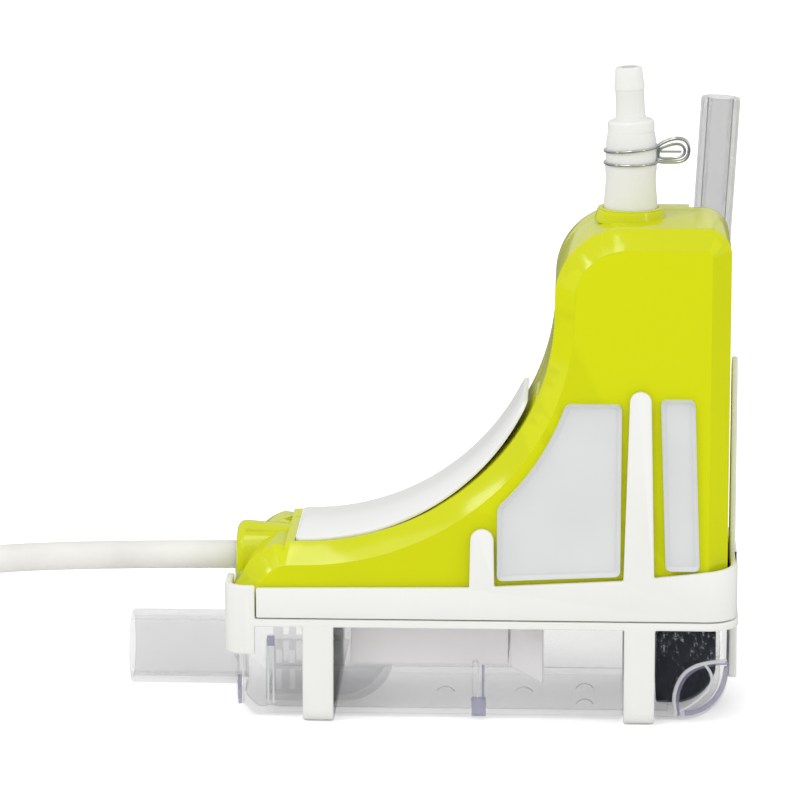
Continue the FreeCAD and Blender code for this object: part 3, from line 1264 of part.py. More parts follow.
def pump_head():
    """Cage, diaphragm with three cups, chamber body, valve disc, head cover and its screws."""
    free = "(HeadScrewRadius + HeadScrewGap)"
    cage_floor = f"{MOTOR_TOP} + CageFloor"
    cage = turned("cage_body", [
        ("CrankRadius", MOTOR_TOP), ("HeadRadius", MOTOR_TOP), ("HeadRadius", CAGE_TOP),
        ("CageBore", CAGE_TOP), ("CageBore", cage_floor), ("CrankRadius", cage_floor),
    ])
    on_pump_axis(cage)
    screw_foot = f"({CAGE_TOP} - HeadScrewGrip)"
    node(cut("pump_cage", cage, *screw_holes("cage_hole", "HeadScrewRadius", screw_foot, f"{CAGE_TOP} + 1")))

    disc = rod("diaphragm_disc", "z", ("OutletX", "0"), "HeadRadius", CAGE_TOP, CHAMBER_Z)
    domes = cups("diaphragm_cup", "CupRadius", CAGE_TOP, f"{CHAMBER_Z} + CupHeight")
    node(cut("diaphragm", join("diaphragm_solid", disc, *domes),
             *screw_holes("diaphragm_hole", free, f"{CAGE_TOP} - 1", f"{CHAMBER_Z} + 1")))

    chamber = rod("chamber_solid", "z", ("OutletX", "0"), "HeadRadius", CHAMBER_Z, VALVE_Z)
    rooms = cups("chamber_room", "CupRadius + CupGap", f"{CHAMBER_Z} - 1",
                 f"{CHAMBER_Z} + CupHeight + 2 * CupGap")
    ports = cups("chamber_port", "PortRadius", CHAMBER_Z, f"{VALVE_Z} + 1")
    node(cut("pump_chamber", chamber, *rooms, *ports,
             *screw_holes("chamber_hole", free, f"{CHAMBER_Z} - 1", f"{VALVE_Z} + 1")))

    valve = rod("valve_solid", "z", ("OutletX", "0"), "HeadRadius", VALVE_Z, COVER_Z)
    node(cut("valve_disc", valve, *cups("valve_slit", "PortRadius / 2", f"{VALVE_Z} - 1", f"{COVER_Z} + 1"),
             *screw_holes("valve_hole", free, f"{VALVE_Z} - 1", f"{COVER_Z} + 1")))

    middle = f"({COVER_Z} + CoverHeight / 2)"
    cover = rod("cover_disc", "z", ("OutletX", "0"), "HeadRadius", COVER_Z, HEAD_TOP)
    nozzle = rod("outlet_nozzle", "z", ("OutletX", "0"), "NozzleRadius", COVER_Z,
                 f"{HEAD_TOP} + NozzleHeight")
    arm = rod("inlet_arm", "x", ("0", middle), "ElbowRadius", "OutletX + HeadRadius / 2", "ElbowX")
    knee = doc.addObject("Part::Sphere", "inlet_knee")
    bind(knee, "Radius", "ElbowRadius")
    place(knee, "ElbowX", 0, middle)
    leg = rod("inlet_leg", "z", ("ElbowX", "0"), "SpigotRadius", f"{middle} - ElbowDrop", middle)
    solid = join("head_solid", cover, nozzle, arm, knee, leg)
    bore = rod("nozzle_bore", "z", ("OutletX", "0"), "NozzleBore", f"{COVER_Z} + 1",
               f"{HEAD_TOP} + NozzleHeight + 1")
    arm_bore = rod("arm_bore", "x", ("0", middle), "SpigotBore", "OutletX + CupPitch", "ElbowX")
    leg_bore = rod("leg_bore", "z", ("ElbowX", "0"), "SpigotBore", f"{middle} - ElbowDrop - 1", middle)
    node(cut("head_cover", solid, bore, arm_bore, leg_bore,
             *screw_holes("cover_hole", free, f"{COVER_Z} - 1", f"{HEAD_TOP} + 1")))

    screw_top = f"({HEAD_TOP} + HeadScrewHeadHeight)"
    pattern = screw("head_screw", "HeadScrewRadius", "HeadScrewHead", "HeadScrewHeadHeight",
                    f"{screw_top} - {screw_foot}")
    copies = [copy_at(pattern, f"head_screw_{n}", f"OutletX + HeadScrewPitch * cos({n} * 120 + 60)",
                      f"HeadScrewPitch * sin({n} * 120 + 60)", screw_top, (1, 0, 0), 180)
              for n in range(3)]
    node(group("head_screws", copies))


def head_buffers():
    """Rubber pads between the pump head and the housing's two sides."""
    pads = []
    for name, side in (("near_pad", -1), ("far_pad", 1)):
        wall = f"({side}) * (HousingHalf - HousingWall - BaseGap)"
        ys = (wall, f"({side}) * MotorRadius") if side < 0 else (f"({side}) * MotorRadius", wall)
        pads.append(block(name, ("OutletX - BufferHalf", "OutletX + BufferHalf"), ys,
                          ("BufferLowZ", "BufferLowZ + BufferHeight")))
    drum = rod("buffer_drum", "z", ("OutletX", "0"), "HeadRadius + BaseGap / 4", "BufferLowZ - 1",
               "BufferLowZ + BufferHeight + 1")
    return node(cut("head_buffers", group("buffer_pads", pads), drum))


def suction_tube():
    """Soft tube from the suction foot, past the motor, up to the inlet elbow."""
    side = "(HousingHalf - HousingWall - SuctionRadius - BaseGap)"
    foot = "(FootX + FootWidth / 2)"
    route = [
        ("ElbowX", "0", f"{COVER_Z} + CoverHeight / 2 - 0.55 * ElbowDrop"),
        ("ElbowX", "0", "SuctionPassZ + SuctionClimb"),
        ("ElbowX - SuctionStep", f"-0.7 * {side}", "SuctionPassZ + SuctionStep"),
        ("OutletX + CrankOffset", f"-{side}", "SuctionPassZ"),
        (f"(OutletX + {foot}) / 2", f"-{side} + BaseGap", "SuctionPassZ + SuctionStep / 2"),
        (foot, "FootY", "SuctionPassZ + SuctionStep"),
        (foot, "FootY", f"{BASE_TOP} + SpigotHeight / 8"),
    ]
    points = [V(*[value(part) for part in spot]) for spot in route]
    outer = tube_along(points, value("SuctionRadius"))[0]
    inner = tube_along(points, value("SpigotRadius + SuctionGap"))[0]
    item = doc.addObject("Part::Feature", "suction_tube")
    item.Shape = outer.cut(inner)
    item.Placement = FreeCAD.Placement()
    return node(item)


# Electronics

def electronics():
    """Circuit board over the well with its larger parts, and the sensor board in the well."""
    top = "(BoardZ + BoardThick)"
    node(block("circuit_board", ("BoardToeX", "BoardHeelX"), ("-BoardHalf", "BoardHalf"), ("BoardZ", top)))
    terminal_toe = "(BoardToeX + TerminalInset)"
    node(block("terminal_block", (terminal_toe, f"{terminal_toe} + TerminalLength"),
               ("-TerminalHalf", "TerminalHalf"), (top, f"{top} + TerminalHeight")))
    node(block("alarm_relay", ("RelayToeX", "RelayToeX + RelayLength"), ("RelayY", "RelayY + RelayWidth"),
               (top, f"{top} + RelayHeight")))
    cans = [rod(f"capacitor_{n}", "x", (f"CapacitorY + {n} * CapacitorPitch", f"{top} + CapacitorRadius"),
                "CapacitorRadius", "RelayToeX", "RelayToeX + CapacitorLength") for n in range(2)]
    node(group("capacitors", cans))
    node(block("transformer", ("TransformerToeX", "TransformerToeX + TransformerLength"),
               ("-TransformerHalf", "TransformerHalf"), (top, f"{top} + TransformerHeight")))
    node(block("sensor_board", ("-SensorHalf", "SensorHalf"), ("-SensorThick / 2", "SensorThick / 2"),
               ("WellBottomZ + WellWall + SensorGap", "BoardZ")))


# Lead

HANK_OUTSIDE = "(HankBend + (2 * HankLanes - 1) * CableRadius)"
HANK_INSIDE = "(HankBend - CableRadius)"
HANK_TOP = "(2 * HankLayers * CableRadius)"
HANK_HEEL = f"(HankHeelX - {HANK_OUTSIDE})"
HANK_TOE = f"({HANK_HEEL} - HankRun)"


def hank_form(name, radius, low, high):
    """Long round-ended block over the folded lead."""
    ends = [rod(f"{name}_{n}", "z", (x, "HankY"), radius, low, high)
            for n, x in enumerate((HANK_HEEL, HANK_TOE))]
    run = block(name + "_run", (HANK_TOE, HANK_HEEL), (f"HankY - {radius}", f"HankY + {radius}"), (low, high))
    return join(name, *ends, run)


def hank_tie(side):
    """Tie round one straight side of the hank."""
    near, far = sorted((f"HankY + ({side}) * {HANK_INSIDE}", f"HankY + ({side}) * {HANK_OUTSIDE}"), key=value)
    middle = f"(({HANK_TOE} + {HANK_HEEL}) / 2)"
    band = block(f"tie_band_{side + 1}", (f"{middle} - TieWidth / 2", f"{middle} + TieWidth / 2"),
                 (f"{near} - TieThick / 2", f"{far} + TieThick / 2"), ("0", f"{HANK_TOP} + TieThick / 2"))
    window = block(f"tie_window_{side + 1}", (f"{middle} - TieWidth", f"{middle} + TieWidth"),
                   (f"{near} + TieThick / 2", f"{far} - TieThick / 2"),
                   ("TieThick", f"{HANK_TOP} - TieThick / 2"))
    return cut(f"tie_{side + 1}", band, window)


def lead():
    """Mains and alarm lead: gland, free tube down to a folded hank with its ties, bare cores."""
    gland = turned("cable_gland", [
        ("CableRadius - GlandGrip", "0"), ("GlandRadius - GlandGrip", "0"),
        ("GlandRadius - GlandGrip", "GlandBackX - BossX"), ("CableRadius - GlandGrip", "GlandBackX - BossX"),
    ])
    place(gland, "BossX", 0, "CableZ", (0, 1, 0), 90)
    node(gland)

    radius, start_z, hank_y = value("CableRadius"), value("CableZ"), value("HankY")
    outside, heel = value(HANK_OUTSIDE), value(HANK_HEEL)
    top, lane_y = value(HANK_TOP), hank_y - outside + radius
    points = [
        V(value("CableStartX"), 0, start_z), V(-66, 0.2, start_z - 0.1), V(-110, 0, 32.0),
        V(-129, -5.2, 27.0), V(-142, -11.6, 19.9), V(heel, lane_y, top - radius),
    ]
    bar, length, radii = tube_along(points, radius)
    print("lead: free length", round(length, 1), "arc radii", [round(r) for r in radii])
    item = doc.addObject("Part::Feature", "cable")
    drum = Part.makeCylinder(outside, top, V(heel, hank_y, 0))
    joined = Part.makeBox(2 * outside, 2 * outside, 2 * top,
                          V(heel + value("HankJoin") - 2 * outside, hank_y - 2 * outside, 0))
    item.Shape = bar.cut([drum, joined]).Solids[0]
    item.Placement = FreeCAD.Placement()
    node(item)

    ring = cut("hank_ring", hank_form("hank_outer", HANK_OUTSIDE, "0", HANK_TOP),
               hank_form("hank_inner", HANK_INSIDE, "-1", f"{HANK_TOP} + 1"))
    sector = doc.addObject("Part::Cylinder", "core_sector")
    bind(sector, "Radius", "HankBend + CableRadius")
    bind(sector, "Height", "2 * CableRadius + 1")
    bind(sector, "Angle", "CoreSector")
    place(sector, HANK_TOE, "HankY", f"{HANK_TOP} - 2 * CableRadius", (0, 0, 1), "270 - CoreSector")
    ties = [hank_tie(side) for side in (-1, 1)]
    node(group("coil_tie", ties))
    node(cut("cable_coil", ring, sector, *ties))

    cores = []
    quarters = ((-1, -1), (1, -1), (-1, 1), (1, 1))
    for number, (step, level) in enumerate(quarters, 1):
        core = doc.addObject("Part::Torus", f"core_{number}")
        bind(core, "Radius1", f"HankBend + ({step}) * CoreSpread * CoreRadius")
        bind(core, "Radius2", "CoreRadius")
        bind(core, "Angle3", "CoreSector - 2")
        level_z = f"{HANK_TOP} - CableRadius + ({level}) * CoreSpread * CoreRadius"
        cores.append(place(core, HANK_TOE, "HankY", level_z, (0, 0, 1), "271 - CoreSector"))
    node(group("cable_cores", cores))
    tails = [rod(f"lead_tail_{n}", "x", (f"({side}) * CoreSpread", f"CableZ + ({level}) * CoreSpread"),
                 "CoreRadius", "CableStartX + CoreGap", "BoardToeX + TerminalInset")
             for n, (side, level) in enumerate(quarters, 1)]
    node(group("lead_tails", tails))


def build():
    housing()
    cover_screws()
    base_screws()
    labels()
    front_panel()
    housing_base()
    outlet()
    breather_hose()
    wall_bracket()
    cradle()
    reservoir()
    filter_basket()
    level_float()
    motor()
    crank()
    wobble_plate()
    pump_head()
    head_buffers()
    suction_tube()
    electronics()
    lead()


def check_and_write():
    doc.recompute()
    for item in doc.Objects:
        if {"Invalid", "Error"} & set(item.State):
            raise ValueError(f"{item.Label} did not build")
    os.makedirs("parts", exist_ok=True)
    for item in nodes:
        shape = item.Shape
        if shape.isNull() or not shape.isValid() or not shape.Solids:
            raise ValueError(f"{item.Label} has no valid solid")
        shape.exportStep(f"parts/{item.Label}.step")
    print(len(nodes), "sub-parts")


build()
check_and_write()
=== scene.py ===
import math

import bpy
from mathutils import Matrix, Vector


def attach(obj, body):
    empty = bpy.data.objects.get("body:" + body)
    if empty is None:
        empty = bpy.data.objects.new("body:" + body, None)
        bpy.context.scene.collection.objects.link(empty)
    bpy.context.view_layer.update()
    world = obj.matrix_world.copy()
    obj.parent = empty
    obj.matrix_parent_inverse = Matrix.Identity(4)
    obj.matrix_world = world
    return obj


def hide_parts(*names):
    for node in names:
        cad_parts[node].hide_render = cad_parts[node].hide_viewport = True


# Condensate pump, dressed round its solids. Metres; the label side looks along -Y.

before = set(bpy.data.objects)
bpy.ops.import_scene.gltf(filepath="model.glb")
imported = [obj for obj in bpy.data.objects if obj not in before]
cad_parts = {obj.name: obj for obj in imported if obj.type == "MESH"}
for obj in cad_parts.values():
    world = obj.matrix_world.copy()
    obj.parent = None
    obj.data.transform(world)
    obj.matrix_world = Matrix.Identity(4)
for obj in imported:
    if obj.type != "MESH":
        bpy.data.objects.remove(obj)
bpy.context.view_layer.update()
bpy.ops.object.select_all(action="DESELECT")
print("frame loaded:", len(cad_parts), "nodes")

mm = 0.001


# camera matched to the photograph
camera = {"lens": 207, "distance": 1055 * mm, "turn": 2.4, "rise": 12.3,
          "aim": (-7.724 * mm, 0, 70.656 * mm)}


def addCamera():
    turn, rise = math.radians(camera["turn"]), math.radians(camera["rise"])
    back = Vector((math.sin(turn) * math.cos(rise), -math.cos(turn) * math.cos(rise), math.sin(rise)))
    spot = Vector(camera["aim"]) + back * camera["distance"]
    bpy.ops.object.camera_add(location=spot, rotation=(-back).to_track_quat("-Z", "Y").to_euler())
    bpy.context.object.name = "camera"
    bpy.context.object.data.lens = camera["lens"]
    bpy.context.scene.camera = bpy.context.object


addCamera()
print("camera matched")


# shader sockets that add up like numbers
class Shade:
    def __init__(self, tree, socket=None):
        self.tree, self.socket = tree, socket

    def node(self, kind, values=None, out=0, **settings):
        made = self.tree.nodes.new(kind)
        for name, setting in settings.items():
            setattr(made, name, setting)
        for name, value in (values or {}).items():
            if isinstance(value, Shade):
                self.tree.links.new(value.socket, made.inputs[name])
            else:
                made.inputs[name].default_value = value
        return Shade(self.tree, made.outputs[out] if made.outputs else None)

    def noise(self, place, scale, detail, roughness=0.5):
        values = {"Vector": place, "Scale": scale, "Detail": detail, "Roughness": roughness}
        return self.node("ShaderNodeTexNoise", values)

    def sum(self, operation, first, second):
        return self.node("ShaderNodeMath", {0: first, 1: second}, operation=operation)

    def __add__(self, other):
        return self.sum("ADD", self, other)

    def __radd__(self, other):
        return self.sum("ADD", other, self)

    def __sub__(self, other):
        return self.sum("SUBTRACT", self, other)

    def __mul__(self, other):
        return self.sum("MULTIPLY", self, other)

    def __gt__(self, other):
        return self.sum("GREATER_THAN", self, other)

    def mixed(self, first, second):
        return self.node("ShaderNodeMix", {0: self, 6: first, 7: second}, out=2, data_type="RGBA")

    def between(self, low, high):
        return self.node("ShaderNodeMapRange", {0: self, 1: low, 2: high, 3: 0.0, 4: 1.0})


def tone(red, green, blue):
    linear = [((c / 255 + 0.055) / 1.055) ** 2.4 if c > 10 else c / 255 / 12.92 for c in (red, green, blue)]
    return (*linear, 1)


def newMaterial(name):
    material = bpy.data.materials.new(name)
    material.use_nodes = True
    tree = material.node_tree
    tree.nodes.clear()
    shade = Shade(tree)
    place = shade.node("ShaderNodeTexCoord", out=3)
    return material, shade, place


def closeMaterial(material, shade, values, bump=None, depth=0.0001):
    if bump is not None:
        values["Normal"] = shade.node("ShaderNodeBump", {"Height": bump, "Strength": 1.0, "Distance": depth})
    surface = shade.node("ShaderNodeBsdfPrincipled", values)
    shade.node("ShaderNodeOutputMaterial", {"Surface": surface})
    return material


def moulded(name, colour, deep, roughness, grain=900, depth=0.00001, edgeWearAndHighlight=None, shine=0.5):
    # moulded plastic: slow colour drift, fine grain, polished edges, lighter convex edges that are partly wear
    # and partly painted highlight, a few hairline rubs
    material, shade, place = newMaterial(name)
    drift = shade.noise(place, 38.0, 3.0)
    fine = shade.noise(place, grain, 2.0)
    rubs = shade.noise(place, 160.0, 5.0, 0.7)
    base = drift.between(0.3, 0.7).mixed(tone(*colour), tone(*deep))
    edge = shade.node("ShaderNodeNewGeometry", out=7).between(0.5, 0.56)
    # convex edges mixed towards a lighter colour: partly wear, partly a painted highlight
    if edgeWearAndHighlight:
        base = (edge * 0.6).mixed(base, tone(*edgeWearAndHighlight))
    rough = roughness + (fine - 0.5) * 0.06 + rubs.between(0.66, 0.80) * 0.05 - edge * 0.04
    values = {"Base Color": base, "Roughness": rough, "Specular IOR Level": shine}
    return closeMaterial(material, shade, values, fine + drift * 0.4, depth)


def clearPlastic(name, tint, roughness, haze, bend, solid, clear=1.0):
    # clear moulding: faint flow lines, fine polish, and a share that lets light straight through
    material, shade, place = newMaterial(name)
    flow = shade.noise(place, 45.0, 2.0)
    fine = shade.noise(place, 700.0, 2.0)
    base = flow.between(0.3, 0.7).mixed(tone(*tint), tone(*haze))
    values = {"Base Color": base, "Roughness": roughness + flow * 0.03, "Alpha": solid + flow * 0.1,
              "Transmission Weight": clear, "IOR": bend}
    return closeMaterial(material, shade, values, flow + fine * 0.08, 0.00003)


def paintedEdgeShade(name, colour, strength):
    # a clear skin that only shows where it is seen edge on: painted shade for the dark lines along a clear bore
    material, shade, place = newMaterial(name)
    facing = shade.node("ShaderNodeLayerWeight", {"Blend": 0.5}, out=1)
    flow = shade.noise(place, 60.0, 2.0)
    values = {"Base Color": tone(*colour), "Roughness": 0.3 + flow * 0.1,
              "Alpha": facing.between(0.6, 0.86) * strength}
    return closeMaterial(material, shade, values)


def metal(name, colour, roughness, brushed=(1, 1, 1)):
    material, shade, place = newMaterial(name)
    stretched = shade.node("ShaderNodeMapping", {"Vector": place, "Scale": brushed})
    brush = shade.noise(stretched, 900.0, 3.0)
    stain = shade.noise(place, 120.0, 4.0)
    base = stain.between(0.35, 0.75).mixed(tone(*colour), tone(*[c * 0.82 for c in colour]))
    rough = roughness + brush * 0.10 + stain * 0.06
    values = {"Base Color": base, "Roughness": rough, "Metallic": 1.0}
    return closeMaterial(material, shade, values, brush, 0.00001)


def foam(name, colour, fleckAndGlint):
    material, shade, place = newMaterial(name)
    cells = shade.node("ShaderNodeTexVoronoi", {"Vector": place, "Scale": 950.0}, out=0)
    specks = shade.noise(place, 1100.0, 3.0, 0.7)
    wide = shade.noise(place, 70.0, 2.0)
    # light, shinier flecks: some everywhere as the foam's own, and more towards the top as painted glints
    high = shade.node("ShaderNodeSeparateXYZ", {"Vector": place}, out=2).between(0.006, 0.018)
    spots = (specks + high * 0.12).between(0.70, 0.76)
    base = wide.between(0.35, 0.65).mixed(tone(*colour), tone(*[c * 0.7 for c in colour]))
    base = (spots * 0.8).mixed(base, tone(*fleckAndGlint))
    values = {"Base Color": base, "Roughness": spots * -0.3 + 0.75}
    return closeMaterial(material, shade, values, cells, 0.0003)


def paper(name, colour):
    material, shade, place = newMaterial(name)
    fibre = shade.noise(place, 1400.0, 3.0)
    drift = shade.noise(place, 60.0, 2.0)
    base = drift.between(0.3, 0.7).mixed(tone(*colour), tone(*[c - 4 for c in colour]))
    values = {"Base Color": base, "Roughness": 0.38 + fibre * 0.12}
    return closeMaterial(material, shade, values, fibre, 0.00001)


def sheath(name, colour):
    material, shade, place = newMaterial(name)
    fine = shade.noise(place, 1100.0, 2.0)
    grime = shade.noise(place, 75.0, 4.0)
    base = grime.between(0.45, 0.8).mixed(tone(*colour), tone(*[c - 14 for c in colour]))
    values = {"Base Color": base, "Roughness": 0.42 + fine * 0.12}
    return closeMaterial(material, shade, values, fine, 0.00003)


limePlastic = moulded("limePlastic", (212, 218, 0), (208, 214, 0), 0.13, edgeWearAndHighlight=(222, 228, 8), shine=0.42)
# painted highlight: a lighter lime for the faces along the side bevel's rim
limeRimHighlight = moulded("limeRimHighlight", (238, 242, 120), (235, 239, 110), 0.12, shine=0.5)
whitePlastic = moulded("whitePlastic", (240, 240, 236), (236, 236, 231), 0.33, edgeWearAndHighlight=(246, 246, 243))
# painted light: a lighter copy of the white plastic for the front panel, to make up for the weaker light on its
# face
litPanelPlastic = moulded("litPanelPlastic", (246, 246, 246), (243, 243, 242), 0.36, edgeWearAndHighlight=(249, 249, 248))
whiteRubber = moulded("whiteRubber", (238, 238, 234), (232, 232, 227), 0.45, grain=600, depth=0.00004)
clearTank = clearPlastic("clearTank", (254, 254, 254), 0.08, (251, 251, 253), 1.2, 0.14)
clearHose = clearPlastic("clearHose", (250, 250, 250), 0.03, (247, 247, 247), 1.40, 0.40)
labelPaper = paper("labelPaper", (224, 226, 226))
wireSteel = metal("wireSteel", (228, 231, 232), 0.02)
screwSteel = metal("screwSteel", (186, 188, 190), 0.30)
motorSteel = metal("motorSteel", (172, 174, 178), 0.34, brushed=(1, 1, 14))
magnetSteel = metal("magnetSteel", (84, 86, 90), 0.42)
floatFoam = foam("floatFoam", (42, 46, 58), (214, 218, 224))
blackRubber = moulded("blackRubber", (38, 38, 40), (30, 30, 32), 0.6, grain=500, depth=0.00005)
blackPlastic = moulded("blackPlastic", (46, 47, 50), (38, 39, 42), 0.42, edgeWearAndHighlight=(66, 67, 70))
clearTube = clearPlastic("clearTube", (244, 245, 246), 0.08, (240, 241, 243), 1.2, 0.24)
basketPlastic = clearPlastic("basketPlastic", (242, 243, 246), 0.12, (236, 237, 241), 1.12, 0.20, 0.7)
basePlastic = moulded("basePlastic", (252, 250, 250), (249, 247, 247), 0.33)
relayPlastic = moulded("relayPlastic", (34, 88, 150), (30, 78, 136), 0.36, edgeWearAndHighlight=(70, 120, 176))
terminalPlastic = moulded("terminalPlastic", (60, 150, 86), (52, 138, 78), 0.4, edgeWearAndHighlight=(90, 170, 110))
canSleeve = moulded("canSleeve", (44, 48, 66), (36, 40, 56), 0.28, edgeWearAndHighlight=(160, 164, 172))
windingWire = metal("windingWire", (184, 112, 62), 0.38, brushed=(1, 1, 22))
boardResin = moulded("boardResin", (28, 104, 62), (20, 88, 52), 0.34, grain=700, edgeWearAndHighlight=(150, 170, 110))
copper = metal("copper", (196, 128, 84), 0.3)
leadSheath = sheath("leadSheath", (238, 237, 232))
tieNylon = moulded("tieNylon", (40, 40, 42), (34, 34, 36), 0.44)
boreShade = paintedEdgeShade("boreShade", (56, 56, 60), 0.95)
violetShade = clearPlastic("violetShade", (196, 195, 218), 0.06, (186, 185, 210), 1.1, 0.6, 0.5)
pinMark = clearPlastic("pinMark", (196, 196, 198), 0.1, (188, 188, 190), 1.1, 0.4, 0.4)
brightHighlight = clearPlastic("brightHighlight", (252, 252, 253), 0.1, (246, 246, 249), 1.1, 0.7, 0.2)
lamination = metal("lamination", (104, 106, 112), 0.44, brushed=(1, 14, 1))
resistorBody = moulded("resistorBody", (206, 186, 148), (196, 174, 134), 0.34, edgeWearAndHighlight=(218, 200, 166))
coreBrown = sheath("coreBrown", (116, 66, 42))
coreBlue = sheath("coreBlue", (44, 98, 176))
coreBlack = sheath("coreBlack", (42, 42, 44))
coreGreen = sheath("coreGreen", (150, 184, 54))
print("materials mixed:", len(bpy.data.materials))


# working habits
def activate(piece):
    bpy.ops.object.select_all(action="DESELECT")
    piece.hide_viewport = False
    piece.select_set(True)
    bpy.context.view_layer.objects.active = piece


def settle(piece, body, slot, *materials, replaced=()):
    # an unturned, unscaled piece with its materials, on its body
    activate(piece)
    if piece.type == "MESH":
        bpy.ops.object.transform_apply(location=True, rotation=True, scale=True)
    if materials:
        piece.data.materials.clear()
        for material in materials:
            piece.data.materials.append(material)
    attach(piece, body)
    if replaced:
        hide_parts(*replaced)
    piece.select_set(False)
    return piece


def cadCopy(name, node):
    # the solid's own mesh, closed up, with flat faces made one face each
    piece = bpy.data.objects.new(name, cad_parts[node].data.copy())
    bpy.context.collection.objects.link(piece)
    activate(piece)
    bpy.ops.mesh.customdata_custom_splitnormals_clear()
    bpy.ops.object.mode_set(mode="EDIT")
    bpy.ops.mesh.select_all(action="SELECT")
    bpy.ops.mesh.remove_doubles(threshold=0.000002)
    bpy.ops.mesh.dissolve_limited(angle_limit=math.radians(0.6))
    bpy.ops.object.mode_set(mode="OBJECT")
    return piece


def selectEdges(piece, test, sharp=None):
    # leaves edit mode on, with the edges chosen by their two ends, and by how sharp they are
    activate(piece)
    bpy.ops.object.mode_set(mode="EDIT")
    bpy.ops.mesh.select_mode(type="EDGE")
    bpy.ops.mesh.select_all(action="DESELECT")
    if sharp:
        bpy.ops.mesh.edges_select_sharp(sharpness=math.radians(sharp))
    bpy.ops.object.mode_set(mode="OBJECT")
    mesh = piece.data
    for edge in mesh.edges:
        start, end = [mesh.vertices[n].co / mm for n in edge.vertices]
        edge.select = (edge.select or not sharp) and bool(test(start, end))
    bpy.ops.object.mode_set(mode="EDIT")


def roundEdges(piece, test, width, segments=3, sharp=20, clamp=True):
    selectEdges(piece, test, sharp)
    bpy.ops.mesh.bevel(offset=width, segments=segments, profile=0.5, affect="EDGES", clamp_overlap=clamp)
    bpy.ops.object.mode_set(mode="OBJECT")
    return piece


def moveCorners(piece, test, shift):
    # moves the corner points that pass the test
    activate(piece)
    bpy.ops.object.mode_set(mode="EDIT")
    bpy.ops.mesh.select_mode(type="VERT")
    bpy.ops.mesh.select_all(action="DESELECT")
    bpy.ops.object.mode_set(mode="OBJECT")
    for vertex in piece.data.vertices:
        vertex.select = bool(test(vertex.co / mm))
    bpy.ops.object.mode_set(mode="EDIT")
    bpy.ops.transform.translate(value=shift)
    bpy.ops.object.mode_set(mode="OBJECT")
    return piece


def softEdges(piece, width, segments=2, angle=32, smooth=34):
    activate(piece)
    bevel = piece.modifiers.new("softEdges", "BEVEL")
    bevel.width, bevel.segments = width, segments
    bevel.limit_method, bevel.angle_limit = "ANGLE", math.radians(angle)
    bevel.use_clamp_overlap, bevel.harden_normals = False, False
    bpy.ops.object.modifier_apply(modifier=bevel.name)
    bpy.ops.object.shade_smooth_by_angle(angle=math.radians(smooth))
    return piece


def softened(name, node, body, slot, material, width, segments=2, angle=32):
    piece = softEdges(cadCopy(name, node), width, segments, angle)
    return settle(piece, body, slot, material, replaced=(node,))


# lead: radius and exit in metres, the rest in millimetres
lead = {
    "radius": 3.25 * mm,
    "exit": (-45 * mm, 0, 33.85 * mm),
    "route": [(-38, 0, 33.85), (-66, 0.2, 33.75), (-110, 0, 32.0), (-129, -5.2, 27.0), (-142, -11.6, 19.9)],
    "count": (4, 10, 8, 10),                               # points in each quarter of a turn
    # the hank: its two round ends, middle line, outer lane's radius, lead's thickness and top layer
    "heel": -156.25, "toe": -210.25, "middle": 12, "outer": 26, "pitch": 6.5, "top": 16.25, "turns": 5.25,
    # from which turn to which it moves to the inner lane, a layer down and a layer up
    "inward": (2.61, 2.75), "down": ((0.75, 1), (1.75, 2)), "up": ((3.5, 3.64), (4.5, 4.64)),
}


def ramp(turn, start, end):
    share = min(max((turn - start) / (end - start), 0), 1)
    return share * share * (3 - 2 * share)


def hankPoint(turn):
    # each turn: near run, toe bend, far run, heel bend; down the outer lane, then up the inner one
    pitch = lead["pitch"]
    radius = lead["outer"] - pitch * ramp(turn, *lead["inward"])
    layers = sum(ramp(turn, *span) for span in lead["down"]) - sum(ramp(turn, *span) for span in lead["up"])
    height = lead["top"] - pitch * layers
    heel, toe, middle = lead["heel"], lead["toe"], lead["middle"]
    leg, share = int(turn * 4) % 4, turn * 4 % 1
    if leg in (0, 2):
        start, end = (heel, toe) if leg == 0 else (toe, heel)
        return start + (end - start) * share, middle + (leg - 1) * radius, height
    centre, start = (toe, 270) if leg == 1 else (heel, 90)
    angle = math.radians(start - 180 * share)
    return centre + radius * math.cos(angle), middle + radius * math.sin(angle), height


def hankPoints():
    points = []
    for quarter in range(int(lead["turns"] * 4)):
        steps = lead["count"][quarter % 4]
        points += [hankPoint((quarter + step / steps) / 4) for step in range(steps)]
    return points + [hankPoint(lead["turns"] - 0.0001)]


def addLead(companions):
    points = lead["route"] + hankPoints()
    bpy.ops.curve.primitive_nurbs_path_add()
    piece = bpy.context.object
    piece.name = "lead"
    spline = piece.data.splines[0]
    spline.points.add(len(points) - len(spline.points))
    for point, spot in zip(spline.points, points):
        point.co = (*[v * mm for v in spot], 1)
    spline.order_u, spline.use_endpoint_u = 3, True
    spline.resolution_u = 8
    piece.location = (0, 0, 0)
    length = sum(lineLengths(piece))
    piece.data.bevel_depth, piece.data.bevel_resolution = lead["radius"], 8
    piece.data.use_fill_caps = True
    piece.data.materials.append(leadSheath)
    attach(piece, "pump")
    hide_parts("cable", "cable_coil")
    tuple(lead["exit"])
    print("lead length", round(length, 3), "m over", len(points), "points")


def lineLengths(curve):
    line = bpy.data.meshes.new_from_object(curve)
    for edge in line.edges:
        start, end = [line.vertices[n].co for n in edge.vertices]
        yield (end - start).length
    bpy.data.meshes.remove(line)


